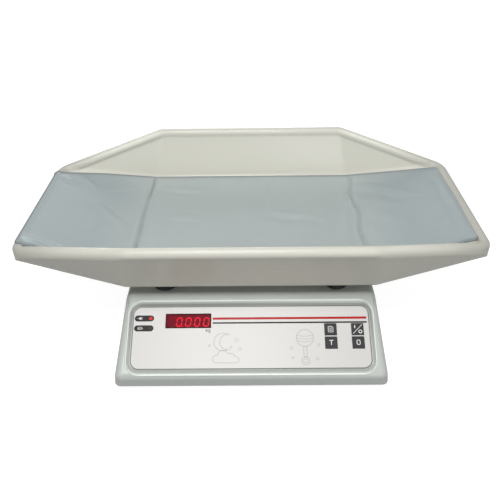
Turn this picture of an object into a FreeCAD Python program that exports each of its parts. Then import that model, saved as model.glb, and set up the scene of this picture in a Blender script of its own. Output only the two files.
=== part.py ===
"""Digital baby weighing scale: a low casing with a sloped control panel, a single-point load cell
that carries a four-post platform, and a lift-off bowl tray with a soft mat.

Frame: +X to the user's right, +Y away from the user, +Z up. The origin is on the table, under the
middle of the whole scale. Millimetres and degrees.
"""
import FreeCAD, Part
import math
import os
import Sketcher
from FreeCAD import Placement, Rotation, Vector

DRIVING = {
    # casing
    "casing_width_low": 301.0, "casing_front": 184.4, "casing_back": 152.1, "casing_lift": 6.0,
    "casing_top": 69.5, "casing_wall": 3.0, "side_draft": 7.2, "back_draft": 4.0,
    "casing_rounding": 8.0, "panel_slope": 32.0, "panel_edge": 104.9,
    # label recess and what sits in it, measured down the slope from the panel's top edge
    "label_width": 266.0, "label_height": 72.0, "label_drop": 49.4, "label_corner": 10.0,
    "label_thick": 0.5, "recess_deep": 2.0, "recess_flare": 4.5,
    "window_width": 51.2, "window_height": 16.7, "window_across": 70.2, "window_drop": 30.5,
    "lamp_across": 113.0, "lamp_drop": 27.3, "lamp_gap": 11.5, "lamp_radius": 2.4,
    "key_side": 13.5, "key_across": 104.0, "key_pitch_wide": 30.0, "key_pitch_high": 15.1,
    "key_drop": 49.0, "key_proud": 0.8, "fit_gap": 0.2,
    "board_deep": 11.0, "board_thick": 1.6, "display_face": 4.8, "digit_pitch": 10.16,
    "digit_high": 10.4, "digit_wide": 6.2, "segment_wide": 1.4,
    # tray, seen from above its floor
    "tray_shift": 23.6, "tray_floor": 85.5, "tray_wall": 3.0, "tray_length": 550.0,
    "tray_depth": 321.6, "tray_mid_length": 260.4, "tray_end_depth": 200.4, "tray_mid_rise": 62.6,
    "tray_end_rise": 29.6, "floor_length": 280.0, "floor_depth": 260.0, "bead_radius": 6.5,
    "bead_corner": 16.0, "rim_set": 5.2, "rim_lap": 6.0, "end_skirt": 5.0, "fold_rounding": 5.0, "seat_ring": 2.5,
    "mat_thick": 2.2, "mat_gap": 0.3, "mat_margin": 8.0,
    # weighing gear
    "post_across": 99.0, "post_along": 109.5, "post_radius": 6.0, "cap_radius": 14.0,
    "cap_clear": 1.5, "cell_length": 130.0, "cell_width": 30.0, "cell_height": 25.0,
    "cell_spacer": 4.0, "spider_thick": 8.0, "arm_width": 20.0, "stop_gap": 1.0,
    # base, frame and feet
    "base_thick": 3.0, "base_rise": 1.0, "frame_thick": 2.0, "frame_width": 276.0,
    "frame_front": 164.0, "frame_back": 142.0, "foot_across": 128.0, "foot_front": 151.9,
    "foot_back": 126.1, "foot_radius": 14.0, "foot_high": 4.6, "stud_radius": 4.0,
    "stud_clear": 0.05,
    # electrical parts
    "inlet_across": 45.0, "inlet_level": 38.0, "inlet_width": 28.0, "inlet_height": 20.4,
    "inlet_wall": 1.5, "coil_across": 95.0, "core_width": 42.0, "core_depth": 36.0,
    "core_height": 30.0, "battery_across": 112.0, "battery_width": 24.0, "battery_depth": 97.0,
    "battery_height": 48.0, "strap_thick": 1.5, "main_board_width": 120.0,
    "main_board_depth": 66.0, "main_board_front": 94.0, "main_board_rise": 6.0,
}


class Size:
    """A number together with the sheet formula that gives it."""

    def __init__(self, number, formula):
        self.number = number
        self.formula = formula

    def _joined(self, other, number, sign):
        return Size(number, "(%s %s %s)" % (self.formula, sign, as_size(other).formula))

    def __add__(self, other):
        return self._joined(other, self.number + as_size(other).number, "+")

    def __sub__(self, other):
        return self._joined(other, self.number - as_size(other).number, "-")

    def __mul__(self, other):
        return self._joined(other, self.number * as_size(other).number, "*")

    def __truediv__(self, other):
        return self._joined(other, self.number / as_size(other).number, "/")

    def __radd__(self, other):
        return as_size(other) + self

    def __rsub__(self, other):
        return as_size(other) - self

    def __rmul__(self, other):
        return as_size(other) * self

    def __neg__(self):
        return as_size(0) - self


def as_size(thing):
    return thing if isinstance(thing, Size) else Size(float(thing), "%.4f" % thing)


def tan(angle):
    return Size(math.tan(math.radians(angle.number)), "tan(%s)" % angle.formula)


def cos(angle):
    return Size(math.cos(math.radians(angle.number)), "cos(%s)" % angle.formula)


def sin(angle):
    return Size(math.sin(math.radians(angle.number)), "sin(%s)" % angle.formula)


doc = FreeCAD.newDocument("baby_scale")
sheet = doc.addObject("Spreadsheet::Sheet", "dims")
for row, (word, number) in enumerate(DRIVING.items(), start=1):
    sheet.set("A%d" % row, word)
    sheet.set("B%d" % row, "%g" % number)
    sheet.setAlias("B%d" % row, word)
doc.recompute()


class Dims:
    """Driving dimensions by name, each as a Size bound to its cell."""

    def __getattr__(self, word):
        return Size(float(sheet.get(word)), "dims.%s" % word)


d = Dims()
nodes = []


# ---------------------------------------------------------------- building blocks

def bind(thing, setting, amount):
    """Give a property of an object the value of a Size, through the sheet."""
    thing.setExpression(setting, as_size(amount).formula)


def place(thing, x=0, y=0, z=0):
    for axis, amount in zip("xyz", (x, y, z)):
        bind(thing, "Placement.Base." + axis, amount)
    return thing


def block(name, sizes, low):
    """A box with its lowest corner at low."""
    made = doc.addObject("Part::Box", name)
    for setting, amount in zip(("Length", "Width", "Height"), sizes):
        bind(made, setting, amount)
    return place(made, *low)


def slab(name, width, depth, thick, centre_x, centre_y, low_z):
    """A box centred on an upright line."""
    low = (as_size(centre_x) - as_size(width) / 2, as_size(centre_y) - as_size(depth) / 2, low_z)
    return block(name, (width, depth, thick), low)


def rod(name, radius, length, x, y, z, turn=None):
    """A cylinder that stands on (x, y, z), upright or turned."""
    made = doc.addObject("Part::Cylinder", name)
    bind(made, "Radius", radius)
    bind(made, "Height", length)
    if turn:
        made.Placement = Placement(Vector(), turn)
    return place(made, x, y, z)


ALONG_X = Rotation(Vector(0, 1, 0), 90)


def cut(name, base, *tools):
    made = doc.addObject("Part::Cut", name)
    made.Base = base
    made.Tool = tools[0] if len(tools) == 1 else group(name + "_tools", *tools)
    return made


def join(name, *pieces):
    made = doc.addObject("Part::MultiFuse", name)
    made.Shapes = list(pieces)
    return made


def group(name, *pieces):
    made = doc.addObject("Part::Compound", name)
    made.Links = list(pieces)
    return made


def overlap(name, first, second):
    made = doc.addObject("Part::Common", name)
    made.Base = first
    made.Tool = second
    return made


def rounded(name, base, radius, wanted):
    """Round the edges of base that the test wanted accepts."""
    doc.recompute()
    made = doc.addObject("Part::Fillet", name)
    made.Base = base
    made.Edges = [(number, radius, radius)
                  for number, edge in enumerate(base.Shape.Edges, start=1) if wanted(edge)]
    return made


def upright(edge):
    ends = edge.Vertexes
    run = ends[-1].Point - ends[0].Point
    return abs(run.z) > 0.9 * run.Length


def on_panel(thing):
    """Stand a piece made about its own origin on the sloped panel: X across, Y up the slope,
    Z out of the panel, with the origin in the middle of the panel's top edge."""
    thing.Placement = Placement(Vector(), Rotation(Vector(1, 0, 0), DRIVING["panel_slope"]))
    bind(thing, "Placement.Rotation.Angle", d.panel_slope)
    return place(thing, 0, -d.panel_edge, d.casing_top)


def node(name, thing):
    """Register a finished sub-part under the name that its file takes."""
    thing.Label = name
    nodes.append(thing)
    return thing


def outline(body, role, corners):
    """A closed sketch of straight lines on one of the body's origin planes."""
    sketch = body.newObject("Sketcher::SketchObject", body.Name + "_outline")
    plane = next(item for item in body.Origin.OriginFeatures if item.Role == role)
    sketch.AttachmentSupport = [(plane, "")]
    sketch.MapMode = "FlatFace"
    points = [(as_size(x), as_size(y)) for x, y in corners]
    spots = [Vector(x.number, y.number, 0) for x, y in points]
    for index, spot in enumerate(spots):
        sketch.addGeometry(Part.LineSegment(spot, spots[(index + 1) % len(spots)]), False)
    for index in range(len(spots)):
        after = (index + 1) % len(spots)
        sketch.addConstraint(Sketcher.Constraint("Coincident", index, 2, after, 1))
    for index, (x, y) in enumerate(points):
        for kind, axis, amount in (("DistanceX", -2, x), ("DistanceY", -1, y)):
            if abs(amount.number) < 1e-9:
                sketch.addConstraint(Sketcher.Constraint("PointOnObject", index, 1, axis))
            else:
                rule = Sketcher.Constraint(kind, -1, 1, index, 1, amount.number)
                bind(sketch, "Constraints[%d]" % sketch.addConstraint(rule), amount)
    return sketch


def prism(name, role, corners, length):
    """A straight-sided solid, centred on one of the origin planes."""
    body = doc.addObject("PartDesign::Body", name)
    pad = body.newObject("PartDesign::Pad", name + "_pad")
    pad.Profile = outline(body, role, corners)
    pad.Midplane = True
    bind(pad, "Length", length)
    body.Tip = pad
    return body


def turned(name, corners):
    """A solid of revolution about Z, from a profile of (radius, height) corners."""
    body = doc.addObject("PartDesign::Body", name)
    profile = outline(body, "XZ_Plane", corners)
    spin = body.newObject("PartDesign::Revolution", name + "_spin")
    spin.Profile = profile
    spin.ReferenceAxis = (profile, ["V_Axis"])
    spin.Angle = 360
    body.Tip = spin
    return body


def copies(name, maker, spots):
    """The same piece at several places, as separate solids of one sub-part."""
    return group(name, *(place(maker("%s_%d" % (name, number)), *spot)
                         for number, spot in enumerate(spots, start=1)))


def corners_of(across, front, back, height):
    return [(x, y, height) for y in (-as_size(front), as_size(back)) for x in (-across, across)]


# ---------------------------------------------------------------- casing

def side_at(height):
    """Half the casing's width at a height."""
    return d.casing_width_low / 2 - (as_size(height) - d.casing_lift) * tan(d.side_draft)


def back_at(height):
    return d.casing_back - (as_size(height) - d.casing_lift) * tan(d.back_draft)


def casing_block(name, inset, low, rounding):
    """The casing's outer form, or the hollow inside it when inset is the wall's thickness."""
    top = d.casing_top - inset
    front = d.casing_front - inset
    edge = d.panel_edge - inset * tan(d.panel_slope / 2)
    shoulder = d.casing_top - (front - d.panel_edge) * tan(d.panel_slope) - inset / cos(d.panel_slope)
    side = prism(name + "_side", "YZ_Plane",
                 [(-front, low), (back_at(low) - inset, low), (back_at(top) - inset, top),
                  (-edge, top), (-front, shoulder)], d.casing_width_low + 20)
    face = prism(name + "_face", "XZ_Plane",
                 [(inset - side_at(low), low), (side_at(low) - inset, low),
                  (side_at(top) - inset, top), (inset - side_at(top), top)], d.casing_front * 3)
    blank = overlap(name + "_blank", side, face)
    floor = as_size(low).number
    return rounded(name, blank, rounding, lambda edge: edge.BoundBox.ZMax > floor + 0.1)


def plate_wire(width, height, corner, level):
    """A rounded rectangle about the label's centre, as a wire at a level over the panel."""
    half_w, half_h = width / 2, height / 2
    middle = Vector(0, -d.label_drop.number, level)
    edges = []
    for turn, (sx, sy) in enumerate(((1, 1), (-1, 1), (-1, -1), (1, -1))):
        hub = middle + Vector(sx * (half_w - corner), sy * (half_h - corner), 0)
        edges.append(Part.Arc(*(hub + Vector(corner * math.cos(a), corner * math.sin(a), 0)
                                for a in (math.radians(90 * turn + step) for step in (0, 45, 90)))))
    arcs = [edge.toShape() for edge in edges]
    sides = [Part.LineSegment(arcs[i].Vertexes[-1].Point, arcs[(i + 1) % 4].Vertexes[0].Point)
             for i in range(4)]
    return Part.Wire([piece for i in range(4) for piece in (arcs[i], sides[i].toShape())])


def recess_tool():
    """The shallow dish round the label, with sloped sides that run out past the panel's face."""
    deep, flare = d.recess_deep.number, d.recess_flare.number
    wide, high, corner = d.label_width.number + 1, d.label_height.number + 1, d.label_corner.number
    above = 1.0
    grown = flare * (deep + above) / deep
    low = plate_wire(wide, high, corner, -deep)
    top = plate_wire(wide + 2 * grown, high + 2 * grown, corner + grown, above)
    made = doc.addObject("Part::Feature", "recess_tool")
    made.Shape = Part.makeLoft([low, top], True, True)
    return on_panel(made)


def key_spots():
    """Centres of the four keys in the panel's own frame, row by row."""
    return [(d.key_across + sx * d.key_pitch_wide / 2, -d.key_drop + sy * d.key_pitch_high / 2)
            for sy in (1, -1) for sx in (-1, 1)]


def lamp_spots():
    return [(-d.lamp_across, -d.lamp_drop), (-d.lamp_across, -d.lamp_drop - d.lamp_gap)]


BOARD_SCREWS = [(x, y) for x in (-105, 0, 105) for y in (-18, -76)]


def openings(name, key_gap, lamp_gap, low, thick):
    """Cutters for the display window, the lamps and the keys, square to the panel."""
    tools = [slab(name + "_window", d.window_width + 2 * key_gap, d.window_height + 2 * key_gap,
                  thick, -d.window_across, -d.window_drop, low)]
    for number, (x, y) in enumerate(lamp_spots()):
        tools.append(rod("%s_lamp_%d" % (name, number), d.lamp_radius + lamp_gap, thick, x, y, low))
    for number, (x, y) in enumerate(key_spots()):
        side = d.key_side + 2 * key_gap
        tools.append(slab("%s_key_%d" % (name, number), side, side, thick, x, y, low))
    return on_panel(group(name, *tools))


COVER_SCREWS = [(-132, -60), (132, -60), (-132, 90), (132, 90)]


def post_spots(height):
    y = d.tray_shift
    return [(sx * d.post_across, y + sy * d.post_along, height) for sy in (-1, 1) for sx in (-1, 1)]


def make_cover():
    outer = casing_block("cover_outer", as_size(0), d.casing_lift, d.casing_rounding.number)
    inner = casing_block("cover_inner", d.casing_wall, d.casing_lift - 2,
                         d.casing_rounding.number - d.casing_wall.number)
    shell = cut("cover_shell", outer, inner)
    base_top = d.casing_lift + d.base_rise + d.base_thick
    pillars = [rod("cover_pillar_%d" % n, 4.5, d.casing_top - d.casing_wall - base_top + 0.4, x, y,
                   base_top + 0.1) for n, (x, y) in enumerate(COVER_SCREWS)]
    bosses = group("panel_bosses", *(
        rod("panel_boss_%d" % n, 3.5, d.board_deep - d.casing_wall + 0.3, x, y, -d.board_deep)
        for n, (x, y) in enumerate(BOARD_SCREWS)))
    full = join("cover_full", shell, on_panel(bosses), *pillars)
    pilots = [rod("cover_pilot_%d" % n, 1.6, 20, x, y, base_top - 1)
              for n, (x, y) in enumerate(COVER_SCREWS)]
    board_pilots = group("board_pilots", *(
        rod("board_pilot_%d" % n, 1.25, 7, x, y, -d.board_deep - 1)
        for n, (x, y) in enumerate(BOARD_SCREWS)))
    posts = [rod("cover_hole_%d" % n, d.post_radius + 2, 20, x, y, z)
             for n, (x, y, z) in enumerate(post_spots(d.casing_top - 10))]
    inlet = slab("cover_inlet", d.inlet_width, 30, d.inlet_height, -d.inlet_across, d.casing_back,
                 d.inlet_level - d.inlet_height / 2)
    return node("casing_cover", cut(
        "casing_cover", full, recess_tool(), openings("cover_openings", d.fit_gap, 0.1, -8, 12),
        on_panel(board_pilots), inlet, *pilots, *posts))


def make_base():
    low = d.casing_lift + d.base_rise
    gap = d.casing_wall + 0.9
    front, back = gap - d.casing_front, back_at(low + d.base_thick) - gap
    width = 2 * (side_at(low + d.base_thick) - gap)
    plate = block("base_blank", (width, back - front, d.base_thick), (width / -2, front, low))
    plate = rounded("base_plate", plate, 8, upright)
    ribs = [slab("base_rib_%d" % n, 2, 60, 8, x, 40, low + d.base_thick - 0.1)
            for n, x in enumerate((-142.5, 142.5))]
    holes = [rod("base_foot_%d" % n, d.stud_radius + 1, 20, x, y, low - 5)
             for n, (x, y, _) in enumerate(corners_of(d.foot_across, d.foot_front, d.foot_back, 0))]
    holes += [rod("base_screw_%d" % n, 1.8, 20, x, y, low - 5)
              for n, (x, y) in enumerate(COVER_SCREWS)]
    vents = [slab("base_vent_%d" % n, 40, 3, 20, -95, 8 + 9 * n, low - 5) for n in range(5)]
    return node("casing_base", cut("casing_base", join("base_full", plate, *ribs), *holes, *vents))


# ---------------------------------------------------------------- panel

def make_label():
    body = doc.addObject("Part::Feature", "label_blank")
    wire = plate_wire(d.label_width.number, d.label_height.number, d.label_corner.number,
                      -d.recess_deep.number)
    body.Shape = Part.Face(wire).extrude(Vector(0, 0, d.label_thick.number))
    label = cut("label_sheet", on_panel(body), openings("label_openings", d.fit_gap, 0.1, -4, 8))
    node("panel_label", label)


def make_window():
    face = d.label_thick - d.recess_deep
    pane = slab("pane", d.window_width, d.window_height, face + 3.1, -d.window_across,
                -d.window_drop, -3.1)
    rim = slab("pane_rim", d.window_width + 4, d.window_height + 4, 1.2, -d.window_across,
               -d.window_drop, -4.3)
    node("display_window", on_panel(join("window_solid", pane, rim)))


def make_lamps():
    """One lamp beside each printed pill: mains on top, battery below."""
    rise = d.board_deep - d.recess_deep + d.label_thick
    for name, (x, y) in zip(("mains_lamp", "battery_lamp"), lamp_spots()):
        stem = rod(name + "_stem", d.lamp_radius, rise, x, y, -d.board_deep)
        foot = rod(name + "_foot", d.lamp_radius + 0.5, 1, x, y, -d.board_deep)
        node(name, on_panel(join(name + "_solid", stem, foot)))


def make_keys():
    """Square key caps that pass through the label, each with a flange that holds it in."""
    top = d.label_thick - d.recess_deep + d.key_proud
    flange_top = -d.casing_wall - 0.1
    for name, (x, y) in zip(("key_print", "key_power", "key_tare", "key_zero"), key_spots()):
        cap = slab(name + "_cap", d.key_side, d.key_side, top - flange_top + 0.5, x, y,
                   flange_top - 0.5)
        cap = rounded(name + "_round", cap, 2.2, upright)
        flange = slab(name + "_flange", d.key_side + 3, d.key_side + 1, 1, x, y, flange_top - 1)
        stem = rod(name + "_stem", 1.8, 2.0, x, y, flange_top - 2.9)
        node(name, on_panel(join(name + "_solid", cap, flange, stem)))


def make_front_board():
    low = -d.board_deep - d.board_thick
    blank = slab("front_board_blank", 248, 68, d.board_thick, 0, -47, low)
    holes = [rod("front_board_hole_%d" % n, 1.6, 5, x, y, low - 1)
             for n, (x, y) in enumerate(BOARD_SCREWS)]
    node("front_board", on_panel(cut("front_board_solid", blank, *holes)))
    switches = []
    for number, (x, y) in enumerate(key_spots()):
        switches.append(slab("switch_%d" % number, 6, 6, 3.5, x, y, -d.board_deep))
        switches.append(rod("switch_pin_%d" % number, 1.7, 1.0, x, y, 3.5 - d.board_deep))
    node("key_switches", on_panel(group("switches", *(
        join("switch_set_%d" % n, switches[2 * n], switches[2 * n + 1]) for n in range(4)))))
    screws = [join("board_screw_%d" % n, rod("board_shank_%d" % n, 1.2, 6, x, y, low - 0.5),
                   rod("board_head_%d" % n, 2.4, 1.4, x, y, low - 1.4))
              for n, (x, y) in enumerate(BOARD_SCREWS)]
    node("board_screws", on_panel(group("board_screw_set", *screws)))


def make_display():
    """A five-place seven-segment block; its segments are separate solids set on its face."""
    case = slab("display_blank", d.window_width - 0.4, 16, d.board_deep - d.display_face,
                -d.window_across, -d.window_drop, -d.board_deep)
    node("display_block", on_panel(group("display_case", case)))
    bars = []
    half_w, half_h, thick = d.digit_wide / 2, d.digit_high / 2, d.segment_wide
    for place_number in range(5):
        x = -d.window_across + (place_number - 2) * d.digit_pitch
        y = -d.window_drop
        flats = [(x, y + rise * (half_h - thick / 2)) for rise in (-1, 0, 1)]
        stands = [(x + side * (half_w - thick / 2), y + rise * half_h / 2)
                  for side in (-1, 1) for rise in (-1, 1)]
        for n, (cx, cy) in enumerate(flats):
            bars.append(slab("bar_%d_%d" % (place_number, n), d.digit_wide - 2 * thick - 0.4, thick,
                             0.15, cx, cy, -d.display_face))
        for n, (cx, cy) in enumerate(stands, start=3):
            bars.append(slab("bar_%d_%d" % (place_number, n), thick, half_h - 0.4, 0.15, cx, cy,
                             -d.display_face))
        bars.append(rod("point_%d" % place_number, 0.7, 0.15, x + half_w + 1.2, y - half_h + 0.7,
                        -d.display_face))
    node("display_segments", on_panel(group("segments", *bars)))


# ---------------------------------------------------------------- base gear

def frame_top():
    return d.casing_lift + d.base_rise + d.base_thick + d.frame_thick


def make_frame():
    """The pressed steel frame that ties the feet to the load cell."""
    low = d.casing_lift + d.base_rise + d.base_thick
    plate = block("frame_blank", (d.frame_width, d.frame_front + d.frame_back, d.frame_thick),
                  (d.frame_width / -2, -d.frame_front, low))
    plate = rounded("frame_plate", plate, 10, upright)
    lips = [slab("frame_lip_%d" % n, 2, 130, 8, x, 0, low) for n, x in enumerate((-30, 30))]
    cutters = [slab("frame_gap_%d" % n, 70, 60, 10, x, y, low - 4)
               for n, (x, y) in enumerate(((-80, -30), (80, 100), (-80, 90), (0, -146)))]
    cutters += [rod("frame_foot_%d" % n, d.stud_radius + 1, 20, x, y, low - 5)
                for n, (x, y, _) in enumerate(corners_of(d.foot_across, d.foot_front, d.foot_back, 0))]
    cutters += [slab("frame_pass_%d" % n, 24, 11, 20, 1.05 * x, y, low - 5)
                for n, (x, y) in enumerate(COVER_SCREWS)]
    cutters += [rod("frame_cell_%d" % n, 3.1, 20, x, d.tray_shift + 55, low - 5)
                for n, x in enumerate((-8, 8))]
    node("steel_frame", cut("steel_frame", join("frame_full", plate, *lips), *cutters))


def make_feet():
    """Four levelling feet: a nut on the frame, a stud that screws in it, and a rubber pad."""
    spots = corners_of(d.foot_across, d.foot_front, d.foot_back, 0)
    bore = d.stud_radius + d.stud_clear
    nuts = [turned("foot_nut_%d" % n, [(bore, 0), (7, 0), (7, 6), (bore, 6)])
            for n in range(4)]
    for nut, (x, y, _) in zip(nuts, spots):
        place(nut, x, y, frame_top())
    node("foot_nuts", group("foot_nut_set", *nuts))
    for word, (x, y, _) in zip(("front_left", "front_right", "back_left", "back_right"), spots):
        pad = turned("pad_" + word, [
            (0, 0), (d.foot_radius - 1, 0), (d.foot_radius, 1), (d.foot_radius - 2, d.foot_high),
            (d.stud_radius + 0.5, d.foot_high), (d.stud_radius + 0.5, 2.4), (0, 2.4)])
        node("foot_pad_" + word, place(pad, x, y, 0))
        stud = turned("stud_" + word, [
            (0, 2.5), (d.stud_radius, 2.5), (d.stud_radius, d.foot_high + 0.1),
            (6.5, d.foot_high + 0.1), (6.5, d.foot_high + 1.6), (d.stud_radius, d.foot_high + 1.6),
            (d.stud_radius, 26), (0, 26)])
        node("foot_stud_" + word, place(stud, x, y, 0))


def screw(name, shank, length, head, high):
    """A plain screw that hangs down from its head, about its own origin."""
    return turned(name, [(0, -length), (shank, -length), (shank, 0), (head, 0), (head, high),
                         (0, high)])


def make_cover_screws():
    low = d.casing_lift + d.base_rise
    node("cover_screws", copies("cover_screw", lambda name: turned(
        name, [(0, -1.6), (3.2, -1.6), (3.2, 0), (1.5, 0), (1.5, 18), (0, 18)]),
        [(x, y, low) for x, y in COVER_SCREWS]))


def make_load_cell():
    y = d.tray_shift
    low = frame_top() + d.cell_spacer
    reach = d.cell_length / 2
    end = 30.0
    holes = [rod("cell_hole_%d" % n, 3.1, 60, x, y + along, low - 20)
             for n, (x, along) in enumerate((sx * 8, sy * 55) for sy in (-1, 1) for sx in (-1, 1))]
    foot = block("cell_foot", (d.cell_width, end, d.cell_spacer),
                 (d.cell_width / -2, y + reach - end, frame_top()))
    node("cell_spacer_low", cut("cell_spacer_low", foot, *holes))
    blank = block("cell_blank", (d.cell_width, d.cell_length, d.cell_height),
                  (d.cell_width / -2, y - reach, low))
    middle = low + d.cell_height / 2
    eyes = [rod("cell_eye_%d" % n, 8, 40, -20, y + side * 12, middle, ALONG_X)
            for n, side in enumerate((-1, 1))]
    slot = slab("cell_slot", 40, 24, 5, 0, y, middle - 2.5)
    node("load_cell", cut("load_cell", blank, *eyes, slot, *holes))
    top = low + d.cell_height
    crown = block("cell_crown", (d.cell_width, end, d.cell_spacer),
                  (d.cell_width / -2, y - reach, top))
    node("cell_spacer_top", cut("cell_spacer_top", crown, *holes))
    long = d.cell_height + d.cell_spacer + d.frame_thick
    node("cell_base_screws", copies("cell_base_screw", lambda name: screw(name, 3, long, 5, 5),
                                    [(x, y + 55, top) for x in (-8, 8)]))
    return top + d.cell_spacer


def make_platform(low):
    """The spider on the cell's free end, and the four posts and rubber caps under the tray."""
    y = d.tray_shift
    span = 2 * math.hypot(DRIVING["post_across"], DRIVING["post_along"])
    lean = math.degrees(math.atan2(DRIVING["post_along"], DRIVING["post_across"]))
    bars = []
    for number, side in enumerate((-1, 1)):
        bar = doc.addObject("Part::Box", "arm_%d" % number)
        bar.Length = span
        bind(bar, "Width", d.arm_width)
        bind(bar, "Height", d.spider_thick)
        turn = Rotation(Vector(0, 0, 1), side * lean)
        offset = turn.multVec(Vector(-span / 2, -DRIVING["arm_width"] / 2, 0))
        bar.Placement = Placement(Vector(), turn)
        bars.append(place(bar, offset.x, y + offset.y, low))
    tips = [rod("arm_tip_%d" % n, d.arm_width / 2, d.spider_thick, *spot)
            for n, spot in enumerate(post_spots(low))]
    hub = slab("spider_hub", 60, 140, d.spider_thick, 0, y, low)
    holes = [rod("spider_hole_%d" % n, 3.3, 20, x, y - 55, low - 5) for n, x in enumerate((-8, 8))]
    windows = [slab("spider_window_%d" % n, 34, 34, 20, 0, y + along, low - 5)
               for n, along in enumerate((0, 44))]
    node("platform_spider", cut("platform_spider", join("spider_full", *bars, *tips, hub),
                                *holes, *windows))
    node("platform_screws", copies("platform_screw", lambda name: screw(name, 3, 26, 5, 5),
                                   [(x, y - 55, low + d.spider_thick) for x in (-8, 8)]))
    seat = d.tray_floor - d.tray_wall
    post_low = low + d.spider_thick
    rise = seat - 4 - post_low
    node("platform_posts", group("posts", *(
        rod("post_%d" % n, d.post_radius, rise, *spot)
        for n, spot in enumerate(post_spots(post_low)))))
    cap_low = d.casing_top + d.cap_clear
    tall = seat - cap_low
    spots = post_spots(cap_low)
    node("rubber_caps", copies("rubber_cap", lambda name: turned(name, [
        (d.post_radius, 0), (d.cap_radius - 1, 0), (d.cap_radius, 1), (d.cap_radius, tall - 1.5),
        (d.cap_radius - 1.5, tall), (0, tall), (0, tall - 4), (d.post_radius, tall - 4)]), spots))
    stop_rise = low - d.stop_gap - frame_top()
    stops = [(sx * 78, y + sy * 82, frame_top()) for sy in (-1, 1) for sx in (-1, 1)]
    node("overload_stops", copies("overload_stop", lambda name: turned(name, [
        (0, 0), (8, 0), (8, 5), (3, 5), (3, stop_rise), (0, stop_rise)]), stops))


# ---------------------------------------------------------------- electrical parts

def make_transformer(floor, y):
    x = -d.coil_across
    shoe_thick = 3
    core = slab("core", d.core_width, d.core_depth, d.core_height, x, y, floor + shoe_thick)
    coil = slab("coil", d.core_width * 2 / 3, d.core_depth + 10, d.core_height - 8, x, y,
                floor + shoe_thick + 4)
    shoe = slab("shoe", d.core_width + 20, 16, shoe_thick, x, y, floor)
    holes = [rod("shoe_hole_%d" % n, 2, 10, x + side * (d.core_width / 2 + 5), y, floor - 2)
             for n, side in enumerate((-1, 1))]
    node("transformer", cut("transformer", join("transformer_full", core, coil, shoe), *holes))


def make_battery(floor, y):
    x, thick, along = d.battery_across, d.strap_thick, 20
    case = slab("battery_case", d.battery_width, d.battery_depth, d.battery_height, x, y, floor)
    poles = [slab("battery_pole_%d" % n, 5, 8, 3, x, y + back, floor + d.battery_height)
             for n, back in enumerate((-38, -20))]
    node("battery", join("battery", case, *poles))
    wide, high = d.battery_width + 2 * d.fit_gap, d.battery_height + d.fit_gap
    strap = slab("strap_blank", wide + 4 * thick, 14, high + thick, x, y + along, floor)
    room = slab("strap_room", wide, 20, high + 0.1, x, y + along, floor - 0.1)
    ears = [slab("strap_ear_%d" % n, 9, 14, thick, x + side * (d.battery_width / 2 + 7), y + along,
                 floor) for n, side in enumerate((-1, 1))]
    node("battery_strap", join("battery_strap", cut("strap_bow", strap, room), *ears))


def behind_panel(along, deep):
    """Where a point in the middle of the panel lies, along its slope and below its face."""
    return (along * cos(d.panel_slope) + deep * sin(d.panel_slope) - d.panel_edge,
            along * sin(d.panel_slope) - deep * cos(d.panel_slope) + d.casing_top)


def make_main_board(floor):
    rise, y = d.main_board_rise, -d.main_board_front
    deck = floor + rise + d.board_thick
    node("main_board", slab("main_board", d.main_board_width, d.main_board_depth, d.board_thick, 0,
                            y, floor + rise))
    legs = [(side_x * (d.main_board_width / 2 - 6), y + side_y * (d.main_board_depth / 2 - 6), floor)
            for side_x in (-1, 1) for side_y in (-1, 1)]
    node("board_pillars", copies("board_pillar", lambda name: turned(
        name, [(0, 0), (3, 0), (3, rise), (0, rise)]), legs))
    edge = y - d.main_board_depth / 2
    back = d.board_deep + d.board_thick + 0.15
    ribbon = prism("ribbon_cable", "YZ_Plane", [
        behind_panel(-60, back), (edge - 11, deck + 1.4), (edge + 5, deck + 0.1),
        (edge + 5, deck + 1), (edge - 10.5, deck + 2.3), behind_panel(-57, back)], 24)
    node("ribbon_cable", ribbon)
    parts = [slab("shield_can", 30, 24, 7, 36, y + 14, deck),
             slab("chip", 12, 12, 2, 4, y - 6, deck), slab("relay", 16, 12, 11, -40, y + 16, deck),
             slab("socket_a", 22, 6, 8, -8, y + 26, deck),
             slab("socket_b", 16, 6, 8, 36, y - 24, deck)]
    parts += [rod("capacitor_%d" % n, 5, 13, -50 + 12 * n, y - 6, deck) for n in range(3)]
    node("board_parts", group("board_parts", *parts))


def make_inlet():
    """A snap-in three-pin mains inlet in the back wall, its socket open to the back."""
    x, level, gap = -d.inlet_across, d.inlet_level, 0.3
    wide, high = d.inlet_width - 2 * gap, d.inlet_height - 2 * gap
    wall = back_at(level)
    flange_low = level - 13
    flange = slab("inlet_flange", wide + 6.6, 3, 26, x, back_at(flange_low) + 1.55, flange_low)
    tub = slab("inlet_tub", wide, 24, high, x, wall - 9.5, level - high / 2)
    room_high = high - 2 * d.inlet_wall
    room = slab("inlet_room", wide - 2 * d.inlet_wall, 22, room_high, x, wall - 6,
                level - room_high / 2)
    pins = [slab("inlet_pin_%d" % n, 2, 20, 4, x + across, wall - 11, level - 2 + up)
            for n, (across, up) in enumerate(((-7, -2), (7, -2), (0, 2)))]
    shell = cut("inlet_shell", join("inlet_full", flange, tub), room)
    node("power_inlet", shell)
    node("inlet_pins", group("inlet_pins", *pins))


# ---------------------------------------------------------------- tray and mat

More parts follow.
